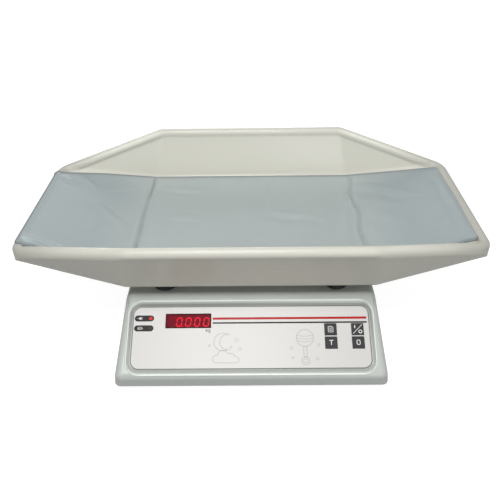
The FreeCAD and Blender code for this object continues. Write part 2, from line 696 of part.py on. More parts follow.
def bowl(floor, mid, end):
    """A faceted bowl form: a floor rectangle, a higher middle rim and two lower end rims."""
    low, mids, ends = ([Vector(sx * spot.x, sy * spot.y, spot.z) for sx, sy in QUARTERS]
                       for spot in (floor, mid, end))
    loops = [low, mids]
    for a, b in ((0, 1), (2, 3)):
        loops.append([low[a], low[b], mids[b], mids[a]])
    for a, b in ((1, 2), (3, 0)):
        loops.append([low[a], low[b], ends[b], ends[a]])
        loops.append([mids[a], mids[b], ends[b], ends[a]])
    loops += [[low[i], mids[i], ends[i]] for i in range(4)]
    faces = [Part.Face(Part.makePolygon(loop + loop[:1])) for loop in loops]
    return Part.Solid(Part.Shell(faces))


QUARTERS = ((1, 1), (-1, 1), (-1, -1), (1, -1))


def bead_path(x_mid, y_mid, z_mid, x_end, y_end, z_end, corner):
    """The rim's centre line: straight runs joined by tangent arcs."""
    stops = []
    for sx, sy in QUARTERS:
        pair = [Vector(sx * x_end, sy * y_end, z_end), Vector(sx * x_mid, sy * y_mid, z_mid)]
        stops += pair if sx * sy > 0 else pair[::-1]
    count = len(stops)
    edges, joints = [], []
    for index, stop in enumerate(stops):
        back = (stops[index - 1] - stop).normalize()
        ahead = (stops[(index + 1) % count] - stop).normalize()
        half = back.getAngle(ahead) / 2
        reach = corner / math.tan(half)
        bisector = (back + ahead).normalize()
        nearest = stop + bisector * (corner / math.sin(half) - corner)
        joints.append((stop + back * reach, nearest, stop + ahead * reach))
    for index, (start, middle, finish) in enumerate(joints):
        edges.append(Part.Arc(start, middle, finish).toShape())
        edges.append(Part.LineSegment(finish, joints[(index + 1) % count][0]).toShape())
    return Part.Wire(edges)


def rim_footprint(mid, end, corner, bead):
    """The plan of everything inside the rim's outer edge, as a tall prism."""
    plan = bead_path(mid.x, mid.y, 0, end.x, end.y, 0, corner).makeOffset2D(bead)
    plan.translate(Vector(0, 0, -20))
    return Part.Face(plan).extrude(Vector(0, 0, 120))


def faceted(floor, mid, end, radius):
    """A bowl form that runs up past its rim, with its folds rounded to a radius."""
    up_wall, up_ramp = mid - floor, end - floor
    lean = math.atan2(up_wall.z, up_wall.y)
    ramp = math.atan2(up_ramp.z, up_ramp.x)
    core = floor + Vector(-radius * math.tan(ramp / 2), -radius * math.tan(lean / 2), radius)
    past_rim = 1.25
    form = bowl(core, core + up_wall * past_rim, core + up_ramp * past_rim)
    return form.makeOffsetShape(radius, 1e-4, join=0)


def make_tray():
    """The bowl: flat facets with rounded folds, walls that thicken towards the rim, and a round
    bead along it that the walls' outer faces run into. At both ends they run below it, as a skirt."""
    wall, bead, fold = d.tray_wall.number, d.bead_radius.number, d.fold_rounding.number
    floor = Vector(d.floor_length.number / 2, d.floor_depth.number / 2, 0)
    mid = Vector(d.tray_mid_length.number / 2, d.tray_depth.number / 2 - bead,
                 d.tray_mid_rise.number - bead / 2)
    end = Vector(d.tray_length.number / 2 - bead, d.tray_end_depth.number / 2,
                 d.tray_end_rise.number - bead / 2)
    inset, flush, lap = d.rim_set.number, bead - 0.05, d.rim_lap.number
    lean = math.atan2(mid.z, mid.y - inset - floor.y)
    ramp = math.atan2(end.z + inset, end.x - floor.x)
    sole = floor + Vector(wall * math.tan(ramp / 2), wall * math.tan(lean / 2), -wall)
    inner = faceted(floor, mid - Vector(0, inset, 0), end + Vector(0, -lap / 2, inset), fold)
    outer = faceted(sole, mid + Vector(lap, flush, 0),
                    end + Vector(bead, lap / 4, -flush - d.end_skirt.number), fold + wall)
    tip = end.x + bead
    side = [(-tip, -20), (tip, -20), (tip, end.z), (end.x, end.z), (mid.x, mid.z),
            (-mid.x, mid.z), (-end.x, end.z), (-tip, end.z), (-tip, -20)]
    below_rim = Part.Face(Part.makePolygon([Vector(x, -200, z) for x, z in side]))
    within = rim_footprint(mid, end, d.bead_corner.number, flush)
    shell = outer.cut(inner).common(below_rim.extrude(Vector(0, 400, 0))).common(within)
    path = bead_path(mid.x, mid.y, mid.z, end.x, end.y, end.z, d.bead_corner.number)
    first = path.Edges[1]
    ring = Part.Wire(Part.Circle(first.Vertexes[0].Point, first.tangentAt(first.FirstParameter),
                                 bead).toShape())
    solids = [path.makePipeShell([ring], True, False)]
    high = d.seat_ring.number
    for x, y, _ in post_spots(0):
        foot = Vector(x.number, y.number - d.tray_shift.number, -wall - high)
        hole = d.cap_radius.number + 0.6
        solids.append(Part.makeCylinder(hole + 1.6, high + 1, foot).cut(
            Part.makeCylinder(hole, high, foot)))
    made = doc.addObject("Part::Feature", "tray_shell")
    made.Shape = shell.fuse(solids)
    place(made, 0, d.tray_shift, d.tray_floor)
    node("tray_shell", made)


def make_mat():
    """A plain pad that follows the tray's floor and both end ramps."""
    bead = d.bead_radius
    thick, gap = d.mat_thick, d.mat_gap
    run = d.tray_length / 2 - bead - d.floor_length / 2
    rise = d.tray_end_rise - bead / 2 + d.rim_set
    reach = run - bead - 1
    end_x = d.floor_length / 2 + reach
    lift = rise * reach / run
    low, high = gap, gap + thick
    bend = d.floor_length / 2
    profile = prism("mat_profile", "XZ_Plane", [
        (-end_x, low + lift + 0.1), (-bend, low + 0.1), (bend, low + 0.1), (end_x, low + lift + 0.1),
        (end_x, high + lift), (bend, high), (-bend, high), (-end_x, high + lift)], d.floor_depth)
    half = d.floor_depth / 2 - d.mat_margin
    half_end = half - (d.floor_depth - d.tray_end_depth) / 2 * reach / run
    plan = prism("mat_plan", "XY_Plane", [
        (-end_x, -half_end), (-bend, -half), (bend, -half), (end_x, -half_end),
        (end_x, half_end), (bend, half), (-bend, half), (-end_x, half_end)], 200)
    node("mat", place(overlap("mat", profile, plan), 0, d.tray_shift, d.tray_floor))


# ---------------------------------------------------------------- whole scale

def check_and_export():
    doc.recompute()
    faults = [item.Name for item in doc.Objects
              if "Invalid" in item.State or "Error" in item.State]
    for made in nodes:
        if made.Shape.isNull() or not made.Shape.isValid() or not made.Shape.Solids:
            faults.append(made.Label)
    if faults:
        raise RuntimeError("not sound: " + ", ".join(faults))
    os.makedirs("parts", exist_ok=True)
    for made in nodes:
        made.Shape.exportStep(os.path.join("parts", made.Label + ".step"))
    print(len(nodes), "sub-parts written")


make_cover()
make_base()
make_label()
make_window()
make_lamps()
make_keys()
make_front_board()
make_display()
make_frame()
make_feet()
make_cover_screws()
make_platform(make_load_cell())
make_transformer(frame_top(), d.tray_shift)
make_battery(frame_top(), d.tray_shift)
make_main_board(frame_top())
make_inlet()
make_tray()
make_mat()
check_and_export()
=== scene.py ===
"""Digital baby weighing scale: a moulded tray and its folding mat on an electronic base.

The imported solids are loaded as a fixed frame. Each operator dresses one piece or one group of
like pieces with its finish, or puts a finer piece in the place of a solid. Lengths are in metres,
and MM turns millimetres into metres. Shapes on the panel and the mat are worked out in millimetres.
"""

import math

import bpy
from mathutils import Matrix, Vector, noise


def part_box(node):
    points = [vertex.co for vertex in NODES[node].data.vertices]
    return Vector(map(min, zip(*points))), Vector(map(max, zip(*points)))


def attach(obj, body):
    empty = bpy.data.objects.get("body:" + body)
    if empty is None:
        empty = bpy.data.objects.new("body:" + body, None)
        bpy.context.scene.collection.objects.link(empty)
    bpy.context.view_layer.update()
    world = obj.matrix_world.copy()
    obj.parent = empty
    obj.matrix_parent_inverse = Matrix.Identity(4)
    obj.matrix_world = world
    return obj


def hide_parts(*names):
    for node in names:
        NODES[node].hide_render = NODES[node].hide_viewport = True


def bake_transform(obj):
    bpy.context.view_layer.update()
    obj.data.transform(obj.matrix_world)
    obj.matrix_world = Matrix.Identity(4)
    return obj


bl_info = {
    "name": "Baby Weighing Scale",
    "version": (1, 0, 0),
    "blender": (4, 5, 0),
    "location": "View3D > Sidebar > Baby Scale",
    "description": "Finishes a baby weighing scale: tray, mat, casing, panel, display, keys and feet",
    "category": "Object",
}

MM = 0.001

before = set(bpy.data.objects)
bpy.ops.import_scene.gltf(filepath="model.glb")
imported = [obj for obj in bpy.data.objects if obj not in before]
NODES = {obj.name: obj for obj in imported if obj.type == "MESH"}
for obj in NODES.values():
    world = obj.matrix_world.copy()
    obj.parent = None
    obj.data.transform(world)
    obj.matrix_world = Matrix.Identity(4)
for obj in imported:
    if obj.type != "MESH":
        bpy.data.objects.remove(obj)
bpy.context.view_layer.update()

# The panel's plane, turned about its upper edge. Places on it are in millimetres: across, up, out.
PANEL_TILT = math.radians(32)
PANEL = Matrix.Translation((0, -104.9 * MM, 69.5 * MM)) @ Matrix.Rotation(PANEL_TILT, 4, "X")
PANEL_MIDDLE = -49.4
FILM_TOP = -1.5
KEY_TOP = -0.7
MAINS_ROW, BATTERY_ROW = -27.3, -38.8
WINDOW_AT, WINDOW_HALF, WINDOW_BORDER = (-70.2, -30.5), (25.6, 8.35), 1.2
FIRST_DIGIT_AT, DIGIT_PITCH, DIGITS = (-90.9, -31.0), 10.16, 5

# The middle of the tray's floor, in millimetres.
TRAY = Vector((0, 23.6, 85.5))
CORNERS = ("front_left", "front_right", "back_left", "back_right")


def srgb(red, green, blue):
    """A colour given as it looks on screen, 0 to 255, as the linear values that shaders use."""
    return tuple(
        c / 12.92 if c <= 0.04045 else ((c + 0.055) / 1.055) ** 2.4
        for c in (red / 255, green / 255, blue / 255)
    )


def shade(colour, factor):
    """The same colour, lighter or darker."""
    return tuple(min(1.0, c * factor) for c in colour[:3])


# ---------------------------------------------------------------- nodes and their maths


class Channel:
    """A value on its way through a node tree. Python's operators on it add Math nodes."""

    def __init__(self, owner, socket):
        self.owner, self.socket = owner, socket

    def math(self, operation, *values):
        """Adds one Math node on these values."""
        return self.owner.node("ShaderNodeMath", {"operation": operation}, dict(enumerate(values)))

    def __add__(self, other):
        return self.math("ADD", self, other)

    def __sub__(self, other):
        return self.math("SUBTRACT", self, other)

    def __rsub__(self, other):
        return self.math("SUBTRACT", other, self)

    def __mul__(self, other):
        return self.math("MULTIPLY", self, other)

    def __truediv__(self, other):
        return self.math("DIVIDE", self, other)

    def __abs__(self):
        return self.math("ABSOLUTE", self)

    def __mod__(self, other):
        return self.math("FLOORED_MODULO", self, other)

    def __gt__(self, other):
        return self.math("GREATER_THAN", self, other)

    def __lt__(self, other):
        return self.math("LESS_THAN", self, other)

    __radd__ = __add__
    __rmul__ = __mul__

    def sine(self):
        return self.math("SINE", self)

    def root(self):
        return self.math("SQRT", self)

    def most(self, other):
        return self.math("MAXIMUM", self, other)

    def least(self, other):
        return self.math("MINIMUM", self, other)

    def smooth(self, low, high):
        """0 below low, 1 above high and a smooth step between them."""
        settings = {"interpolation_type": "SMOOTHSTEP"}
        return self.owner.node("ShaderNodeMapRange", settings, {0: self, 1: low, 2: high})

    def beside(self, output):
        """Another output of the same node."""
        return Channel(self.owner, self.socket.node.outputs[output])


class Tree:
    """A node tree in the making."""

    def __init__(self, tree):
        self.tree = tree

    def node(self, kind, settings=None, values=None, output=0):
        """Adds one node. Its settings come first, then the values or links of its sockets."""
        made = self.tree.nodes.new(kind)
        for key, value in (settings or {}).items():
            if key == "stops":
                ramp = made.color_ramp.elements
                while len(ramp) < len(value):
                    ramp.new(1)
                for stop, (at, colour) in zip(ramp, value):
                    stop.position, stop.color = at, (*colour[:3], 1)
            else:
                setattr(made, key, value)
        for key, value in (values or {}).items():
            self.feed(made.inputs[key], value)
        return Channel(self, made.outputs[output])

    def feed(self, socket, value):
        """Gives a socket its plain value, or a link from a channel or from each of a list."""
        for channel in value if isinstance(value, list) else [value]:
            if isinstance(channel, Channel):
                self.tree.links.new(channel.socket, socket)
            else:
                socket.default_value = channel


class Finish(Tree):
    """A material in the making: one Principled shader and the nodes that feed it."""

    def __init__(self, name, colour, roughness, **fixed):
        self.material = bpy.data.materials.new(name)
        self.material.use_nodes = True
        super().__init__(self.material.node_tree)
        self.shader = self.tree.nodes["Principled BSDF"]
        self.colour = tuple(colour)[:3]
        self.material.diffuse_color = (*self.colour, 1)
        self.set("Base Color", (*self.colour, 1))
        self.set("Roughness", roughness)
        for socket, value in fixed.items():
            self.set(socket.replace("_", " "), value)
        self.place = self.node("ShaderNodeTexCoord", output="Object")
        self.normal = None

    def set(self, socket, value):
        """Feeds one of the shader's own sockets."""
        self.feed(self.shader.inputs[socket], value)

    def axes(self):
        """The surface point's x, y and z in the row frame, in metres."""
        x = self.node("ShaderNodeSeparateXYZ", values={0: self.place})
        return x, x.beside(1), x.beside(2)

    def panel_axes(self):
        """The surface point across the panel, up its slope and out of it, in metres."""
        x, y, z = self.axes()
        y, z = y - PANEL.translation.y, z - PANEL.translation.z
        c, s = math.cos(PANEL_TILT), math.sin(PANEL_TILT)
        return x, y * c + z * s, z * c - y * s

    def stretched(self, scale, turn=(0, 0, 0)):
        """The surface point with its axes scaled, for a pattern that is longer one way."""
        return self.node("ShaderNodeMapping", values={0: self.place, 2: turn, 3: scale})

    def noise(self, scale, detail=2.0, roughness=0.5, at=None):
        """Cloudy values round 0.5. Scale is the number of clouds in a metre."""
        values = {"Vector": at or self.place, "Scale": scale, "Detail": detail, "Roughness": roughness}
        return self.node("ShaderNodeTexNoise", values=values)

    def cells(self, scale, feature="F1"):
        """The distance to the nearest of many scattered points."""
        values = {"Vector": self.place, "Scale": scale}
        return self.node("ShaderNodeTexVoronoi", {"feature": feature}, values)

    def mix(self, factor, first, second):
        """A colour between two colours."""
        first, second = (c if isinstance(c, Channel) else (*c[:3], 1) for c in (first, second))
        values = {0: factor, 6: first, 7: second}
        return self.node("ShaderNodeMix", {"data_type": "RGBA"}, values, output=2)

    def soft_edges(self, radius):
        """Edges catch the light as if rounded to this radius."""
        self.normal = self.node("ShaderNodeBevel", {"samples": 6}, {"Radius": radius})
        self.set("Normal", self.normal)

    def bump(self, height, distance, strength=1.0):
        """A relief: height runs from 0 to 1 over that distance in metres."""
        values = {"Height": height, "Distance": distance, "Strength": strength}
        if self.normal:
            values["Normal"] = self.normal
        self.normal = self.node("ShaderNodeBump", values=values)
        self.set("Normal", self.normal)

    def mottle(self, amount, scale):
        """The base colour drifts a little over the surface."""
        darker, lighter = shade(self.colour, 1 - amount), shade(self.colour, 1 + amount)
        painted = self.mix(self.noise(scale, 3), darker, lighter)
        self.set("Base Color", painted)
        return painted


# ---------------------------------------------------------------- finishes


def casing_plastic(name, colour, highlight=0.0):
    """Satin moulded plastic, dull along its foot, with painted shade in the recess and a painted
    highlight when one is given.
    """
    finish = Finish(name, colour, 0.36)
    painted = finish.mottle(0.018, 6)
    height = finish.axes()[2]
    foot = (1 - height.smooth(6 * MM, 22 * MM)) * finish.noise(60, 4).smooth(0.35, 0.8)
    across, up, out = finish.panel_axes()
    # Painted shade in the panel's recess, deeper towards its upper edge.
    recess_shade = (1 - out.smooth(FILM_TOP * MM, -0.2 * MM)) * (out > -4 * MM)
    recess_shade *= (abs(across) < 140 * MM) * (abs(up - PANEL_MIDDLE * MM) < 43 * MM)
    recess_shade *= 0.5 + 0.5 * up.smooth(-70 * MM, -20 * MM)
    tone_with_painted_light = finish.mix(foot * 0.35, painted, shade(colour, 0.82))
    # A painted highlight: the plastic is made lighter, less so towards the panel's sides.
    if highlight:
        level = highlight * (1 - abs(across).smooth(118 * MM, 136 * MM) * 0.7)
        tone_with_painted_light = finish.mix(level, tone_with_painted_light, shade(colour, 1.75))
    finish.set("Base Color", finish.mix(recess_shade, tone_with_painted_light, shade(colour, 0.5)))
    finish.set("Roughness", 0.18 + finish.noise(45, 4) * 0.12)
    finish.soft_edges(1.3 * MM)
    finish.bump(finish.noise(1500, 2), 0.02 * MM, 0.5)
    return finish.material


def tray_plastic(colour):
    """Glossier warm white plastic with hair scratches, a little rougher on the rim, with painted shade
    on the rim that deepens towards its ends.
    """
    finish = Finish("tray_plastic", colour, 0.3, Specular_IOR_Level=0.32)
    painted = finish.mottle(0.02, 5)
    x, _, z = finish.axes()
    # Painted shade on the rim, deeper towards the tray's ends; the same mask makes the rim a little
    # rougher.
    rim = (z + abs(x).most(0.15) * 0.33 - 0.2).smooth(-6 * MM, 4 * MM)
    rim_shade = ((x * x).smooth(0.036, 0.07) * 0.65 + 0.35) * rim
    painted = finish.mix(rim_shade, painted, shade(colour, 0.72))
    hair = finish.noise(28, 2, at=finish.stretched((1, 26, 26), (0, 0, 0.35)))
    lines = hair.smooth(0.66, 0.72)
    finish.set("Base Color", finish.mix(lines * 0.05, painted, shade(colour, 0.86)))
    finish.set("Roughness", 0.17 + finish.noise(30, 4) * 0.12 + lines * 0.1 + rim_shade * 0.08)
    finish.soft_edges(7 * MM)
    finish.bump(finish.noise(22, 1), 0.35 * MM, 0.35)
    finish.bump(finish.noise(900, 2), 0.012 * MM, 0.5)
    return finish.material


def coated_cloth(colour):
    """Blue-grey coated cloth: a leathery grain over a faint weave, satin and slightly worn, with
    painted shade at its ends, along its edges and in its seams.
    """
    finish = Finish("coated_cloth", colour, 0.5, Sheen_Weight=0.1)
    broad = finish.noise(7, 4, 0.6)
    painted = finish.mix(broad, shade(colour, 0.93), shade(colour, 1.05))
    rubbed = finish.noise(38, 5, 0.65).smooth(0.55, 0.8)
    x, y, _ = finish.axes()
    # Painted shade on the mat's ends, a little bluer than the middle.
    ends = (x * x).smooth(0.017, 0.04)
    shaded_ends = tuple(c * tone_with_painted_light for c, tone_with_painted_light in zip(colour, (0.79, 0.825, 0.855)))
    painted = finish.mix(ends * 0.75, painted, shaded_ends)
    # Painted shade along the mat's edges and in its seams, read from a mesh attribute.
    grime = finish.node("ShaderNodeAttribute", {"attribute_name": "grime"}, output=2)
    painted = finish.mix(grime, painted, shade(colour, 0.42))
    finish.set("Base Color", finish.mix(rubbed * 0.22, painted, shade(colour, 1.14)))
    finish.set("Roughness", 0.43 + finish.noise(70, 3) * 0.14 - rubbed * 0.05)
    finish.bump(weave(x, y, 1.1 * MM), 0.05 * MM, 0.35)
    finish.bump(finish.cells(1300, "SMOOTH_F1"), 0.09 * MM, 0.5)
    return finish.material


def weave(across, along, pitch):
    """The over-and-under height of a plain weave with this thread pitch."""
    turn = 2 * math.pi / pitch
    return abs((across * turn).sine()) * 0.5 + abs((along * turn).sine()) * 0.5


def label_film(colour):
    """Printed polycarbonate film: pearly, with a velvet texture."""
    finish = Finish("label_film", colour, 0.4, Specular_IOR_Level=0.35)
    speck = finish.noise(2600, 2)
    tone = speck * 0.35 + finish.noise(5, 2) * 0.65
    finish.set("Base Color", finish.mix(tone, shade(colour, 0.965), shade(colour, 1.02)))
    finish.set("Roughness", 0.3 + speck * 0.12)
    finish.bump(speck, 0.012 * MM, 0.6)
    return finish.material


def printed_ink(name, colour):
    """Screen-printed ink, slightly uneven under the film's texture."""
    finish = Finish(name, colour, 0.42, Specular_IOR_Level=0.12)
    finish.mottle(0.06, 220)
    finish.set("Roughness", 0.32 + finish.noise(1800, 2) * 0.1)
    finish.bump(finish.noise(2600, 2), 0.01 * MM, 0.5)
    return finish.material


def tinted_window(colour):
    """Deep red acrylic that lets the display through, printed dark along its edge."""
    finish = Finish("tinted_window", colour, 0.3, Specular_IOR_Level=0.03)
    axes = zip(finish.panel_axes(), WINDOW_AT, WINDOW_HALF)
    from_side, from_top = (half * MM - abs(axis - middle * MM) for axis, middle, half in axes)
    border = WINDOW_BORDER * MM
    inside = from_side.least(from_top).smooth(border * 0.8, border * 1.3)
    field = finish.mix(finish.noise(60, 2), shade(colour, 0.9), shade(colour, 1.1))
    finish.set("Base Color", finish.mix(inside, shade(colour, 0.12), field))
    finish.set("Alpha", 0.98 - inside * 0.36)
    finish.set("Roughness", 0.24 + finish.noise(300, 2) * 0.08)
    return finish.material


def glowing(name, colour, strength):
    """A lit segment or lamp, a little hotter in the middle of its plastic."""
    finish = Finish(name, colour, 0.3, Emission_Strength=strength, Specular_IOR_Level=0.1)
    hot = finish.noise(900, 2)
    finish.set("Emission Color", finish.mix(hot, shade(colour, 0.85), shade(colour, 1.1)))
    finish.set("Roughness", 0.25 + hot * 0.1)
    return finish.material


def unlit(name, colour):
    """A coloured lens or segment with no light in it."""
    finish = Finish(name, colour, 0.28, Specular_IOR_Level=0.1)
    finish.mottle(0.12, 500)
    finish.set("Roughness", 0.22 + finish.noise(700, 2) * 0.12)
    return finish.material


def charcoal_key(colour):
    """Key caps under a fine matt texture, with the pads polished by fingers."""
    finish = Finish("charcoal_key", colour, 0.5, Specular_IOR_Level=0.22)
    finish.mottle(0.08, 120)
    finish.set("Roughness", 0.42 + finish.noise(160, 4) * 0.2)
    finish.bump(finish.noise(3200, 2), 0.014 * MM, 0.7)
    return finish.material


def black_moulding(colour):
    """Black moulded plastic with a fine grain."""
    finish = Finish("black_moulding", colour, 0.42)
    finish.mottle(0.15, 90)
    finish.set("Roughness", 0.34 + finish.noise(240, 3) * 0.18)
    finish.soft_edges(0.3 * MM)
    finish.bump(finish.noise(2200, 2), 0.02 * MM, 0.6)
    return finish.material


def soft_rubber(colour):
    """Matt black rubber with a dusty bloom."""
    finish = Finish("soft_rubber", colour, 0.75)
    bloom = finish.noise(130, 5, 0.6).smooth(0.45, 0.8)
    finish.set("Base Color", finish.mix(bloom * 0.5, colour, shade(colour, 2.6)))
    finish.set("Roughness", 0.62 + bloom * 0.2)
    finish.soft_edges(0.5 * MM)
    finish.bump(finish.noise(1400, 3), 0.05 * MM, 0.6)
    return finish.material


def zinc_plate(colour):
    """Zinc plated steel: soft spangle and a faint yellow and blue passivation."""
    finish = Finish("zinc_plate", colour, 0.32, Metallic=1.0)
    tinted = finish.node(
        "ShaderNodeValToRGB",
        {
            "stops": [
                (0.32, shade(colour, 0.92)),
                (0.5, colour),
                (0.62, (colour[0] * 1.04, colour[1] * 1.0, colour[2] * 0.9)),
                (0.75, (colour[0] * 0.92, colour[1] * 0.98, colour[2] * 1.06)),
            ]
        },
        {0: finish.noise(42, 3)},
    )
    finish.set("Base Color", tinted)
    finish.set("Roughness", 0.26 + finish.cells(420) * 0.22)
    finish.soft_edges(0.35 * MM)
    finish.bump(finish.noise(1100, 2), 0.01 * MM, 0.6)
    return finish.material


def machined_aluminium(colour):
    """Aluminium with the fine parallel lines that a milling cutter leaves."""
    finish = Finish("machined_aluminium", colour, 0.3, Metallic=1.0)
    x = finish.axes()[0]
    lines = (x * 9000).sine() * 0.5 + 0.5
    finish.mottle(0.05, 60)
    finish.set("Roughness", 0.24 + finish.noise(200, 3) * 0.14)
    finish.soft_edges(0.4 * MM)
    finish.bump(lines, 0.012 * MM, 0.4)
    return finish.material


def circuit_board(colour):
    """Green solder mask over copper tracks, with bare tinned pads."""
    finish = Finish("circuit_board", colour, 0.3)
    x, y, _ = finish.axes()
    cell = 2.54 * MM
    off_x, off_y = abs(x % (cell * 3) - cell * 1.5), abs(y % (cell * 2) - cell)
    row, column = (off.smooth(cell * 0.1, cell * 0.16) for off in (off_y, off_x))
    areas = finish.noise(55, 0) > 0.5
    tracks = 1 - (row * areas + column * (1 - areas))
    painted = finish.mix(tracks, colour, (0.09, 0.34, 0.15))
    pads = 1 - (off_x * off_x + off_y * off_y).root().smooth(cell * 0.24, cell * 0.32)
    finish.set("Base Color", finish.mix(pads, painted, (0.62, 0.62, 0.6)))
    finish.set("Metallic", pads * 0.9)
    finish.set("Roughness", 0.34 - pads * 0.08)
    finish.bump(tracks.most(pads), 0.04 * MM, 0.6)
    return finish.material


def battery_case(colour):
    """Dark grey case of a sealed battery, with fine moulded ribs."""
    finish = Finish("battery_case", colour, 0.45)
    x = finish.axes()[0]
    finish.mottle(0.1, 70)
    ribs = abs(x % (4 * MM) - 2 * MM).smooth(0.7 * MM, 1.1 * MM)
    finish.set("Roughness", 0.38 + finish.noise(300, 3) * 0.16)
    finish.soft_edges(0.8 * MM)
    finish.bump(ribs, 0.25 * MM, 0.5)
    return finish.material


def laminated_iron(colour):
    """A stack of varnished sheets: fine dark joints between them."""
    finish = Finish("laminated_iron", colour, 0.45, Metallic=0.8)
    x = finish.axes()[0]
    joints = abs(x % (0.7 * MM) - 0.35 * MM).smooth(0.04 * MM, 0.13 * MM)
    varnish = finish.mix(finish.noise(90, 4), shade(colour, 0.7), (0.26, 0.2, 0.15))
    finish.set("Base Color", finish.mix(joints, shade(colour, 0.25), varnish))
    finish.set("Roughness", 0.36 + finish.noise(260, 3) * 0.2)
    finish.bump(joints, 0.08 * MM, 0.6)
    return finish.material


def flat_cable(colour):
    """Grey flat cable: one rounded core beside the next, the first one red."""
    finish = Finish("flat_cable", colour, 0.42)
    x = finish.axes()[0]
    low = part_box("ribbon_cable")[0]
    pitch = 1.27 * MM
    cores = abs(x % pitch - pitch / 2) / (pitch / 2)
    first = x - (low.x + 1.2 * MM) < 0
    painted = finish.mix(cores.smooth(0.7, 1.0), colour, shade(colour, 0.6))
    finish.set("Base Color", finish.mix(first, painted, (0.5, 0.05, 0.05)))
    finish.set("Roughness", 0.4 + finish.noise(300, 2) * 0.08)
    finish.bump(1 - cores * cores, 0.25 * MM, 0.7)
    return finish.material


# How much of the floor's white a reflection shows.
REFLECTED_WHITE = 0.4


def studio_white(glow):
    """White to the eye and through glass, dimmer in reflections, and keeps a soft shadow."""
    finish = Finish("studio_white", (0.8, 0.8, 0.8), 0.9, Specular_IOR_Level=0.0)
    camera = finish.node("ShaderNodeLightPath", output="Is Camera Ray")
    seen = camera.most(camera.beside("Is Transmission Ray"))
    seen = seen.most(camera.beside("Is Glossy Ray") * REFLECTED_WHITE)
    plain = finish.node("ShaderNodeBsdfDiffuse", values={0: (0.3, 0.3, 0.3, 1)})
    white = finish.node("ShaderNodeEmission", values={0: (1, 1, 1, 1), 1: glow})
    bright = finish.node("ShaderNodeAddShader", values={0: plain, 1: white})
    both = finish.node("ShaderNodeMixShader", values={0: seen, 1: plain, 2: bright})
    finish.feed(finish.tree.nodes["Material Output"].inputs["Surface"], both)
    finish.tree.nodes.remove(finish.shader)
    return finish.material


# ---------------------------------------------------------------- pieces


def dress(material, *names):
    """Gives CAD nodes that stay a finished material."""
    for name in names:
        for used in NODES[name].material_slots:
            used.material = material


def add_piece(name, vertices, faces, material, body, stands_for=(), sharp=35):
    """Makes a smooth-shaded mesh whose place is in its vertices, and puts it on its body."""
    mesh = bpy.data.meshes.new(name)
    mesh.from_pydata([tuple(v) for v in vertices], [], faces)
    mesh.validate()
    return add_mesh(name, mesh, material, body, stands_for, sharp)


def add_mesh(name, mesh, material, body, stands_for=(), sharp=35):
    """Puts a finished mesh on its body. Edges past the sharp angle, in degrees, stay crisp."""
    mesh.shade_smooth()
    mesh.set_sharp_from_angle(angle=math.radians(sharp))
    if material:
        mesh.materials.clear()
        mesh.materials.append(material)
    piece = bpy.data.objects.new(name, mesh)
    bpy.context.scene.collection.objects.link(piece)
    if stands_for:
        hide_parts(*stands_for)
    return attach(piece, body)


def loft(rings):
    """Faces through closed rings of points that have the same count, with open ends."""
    count = len(rings[0])
    vertices = [point for ring in rings for point in ring]
    faces = []
    for a in range(0, len(vertices) - count, count):
        for i in range(count):
            j = (i + 1) % count
            faces.append((a + i, a + j, a + count + j, a + count + i))
    return vertices, faces


def under(node):
    """The middle of the underside of a node's box."""
    low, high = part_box(node)
    return Vector(((low.x + high.x) / 2, (low.y + high.y) / 2, low.z))


def rounded(x, y, width, height, corner, steps=6):
    """A rectangle with rounded corners, anticlockwise."""
    points = []
    for turn, (sx, sy) in enumerate(((1, 1), (-1, 1), (-1, -1), (1, -1))):
        cx = x + sx * (width / 2 - corner)
        cy = y + sy * (height / 2 - corner)
        for i in range(steps + 1):
            a = math.radians(90 * (turn + i / steps))
            points.append((cx + corner * math.cos(a), cy + corner * math.sin(a)))
    return points


def arc(x, y, radius, start, end, steps=16):
    """Points on a circle from one angle to another, in degrees."""
    turns = [math.radians(start + (end - start) * i / steps) for i in range(steps + 1)]
    return [(x + radius * math.cos(a), y + radius * math.sin(a)) for a in turns]


def circle(x, y, radius, steps):
    """Points round a whole circle."""
    return arc(x, y, radius, 0, 360, steps)[:-1]


def star(x, y, radius, points=5):
    """A star with blunt points."""
    corners = []
    for i in range(points * 2):
        a = math.pi * i / points
        reach = radius if i % 2 == 0 else radius / 2
        corners.append((x + reach * math.sin(a), y + reach * math.cos(a)))
    return corners


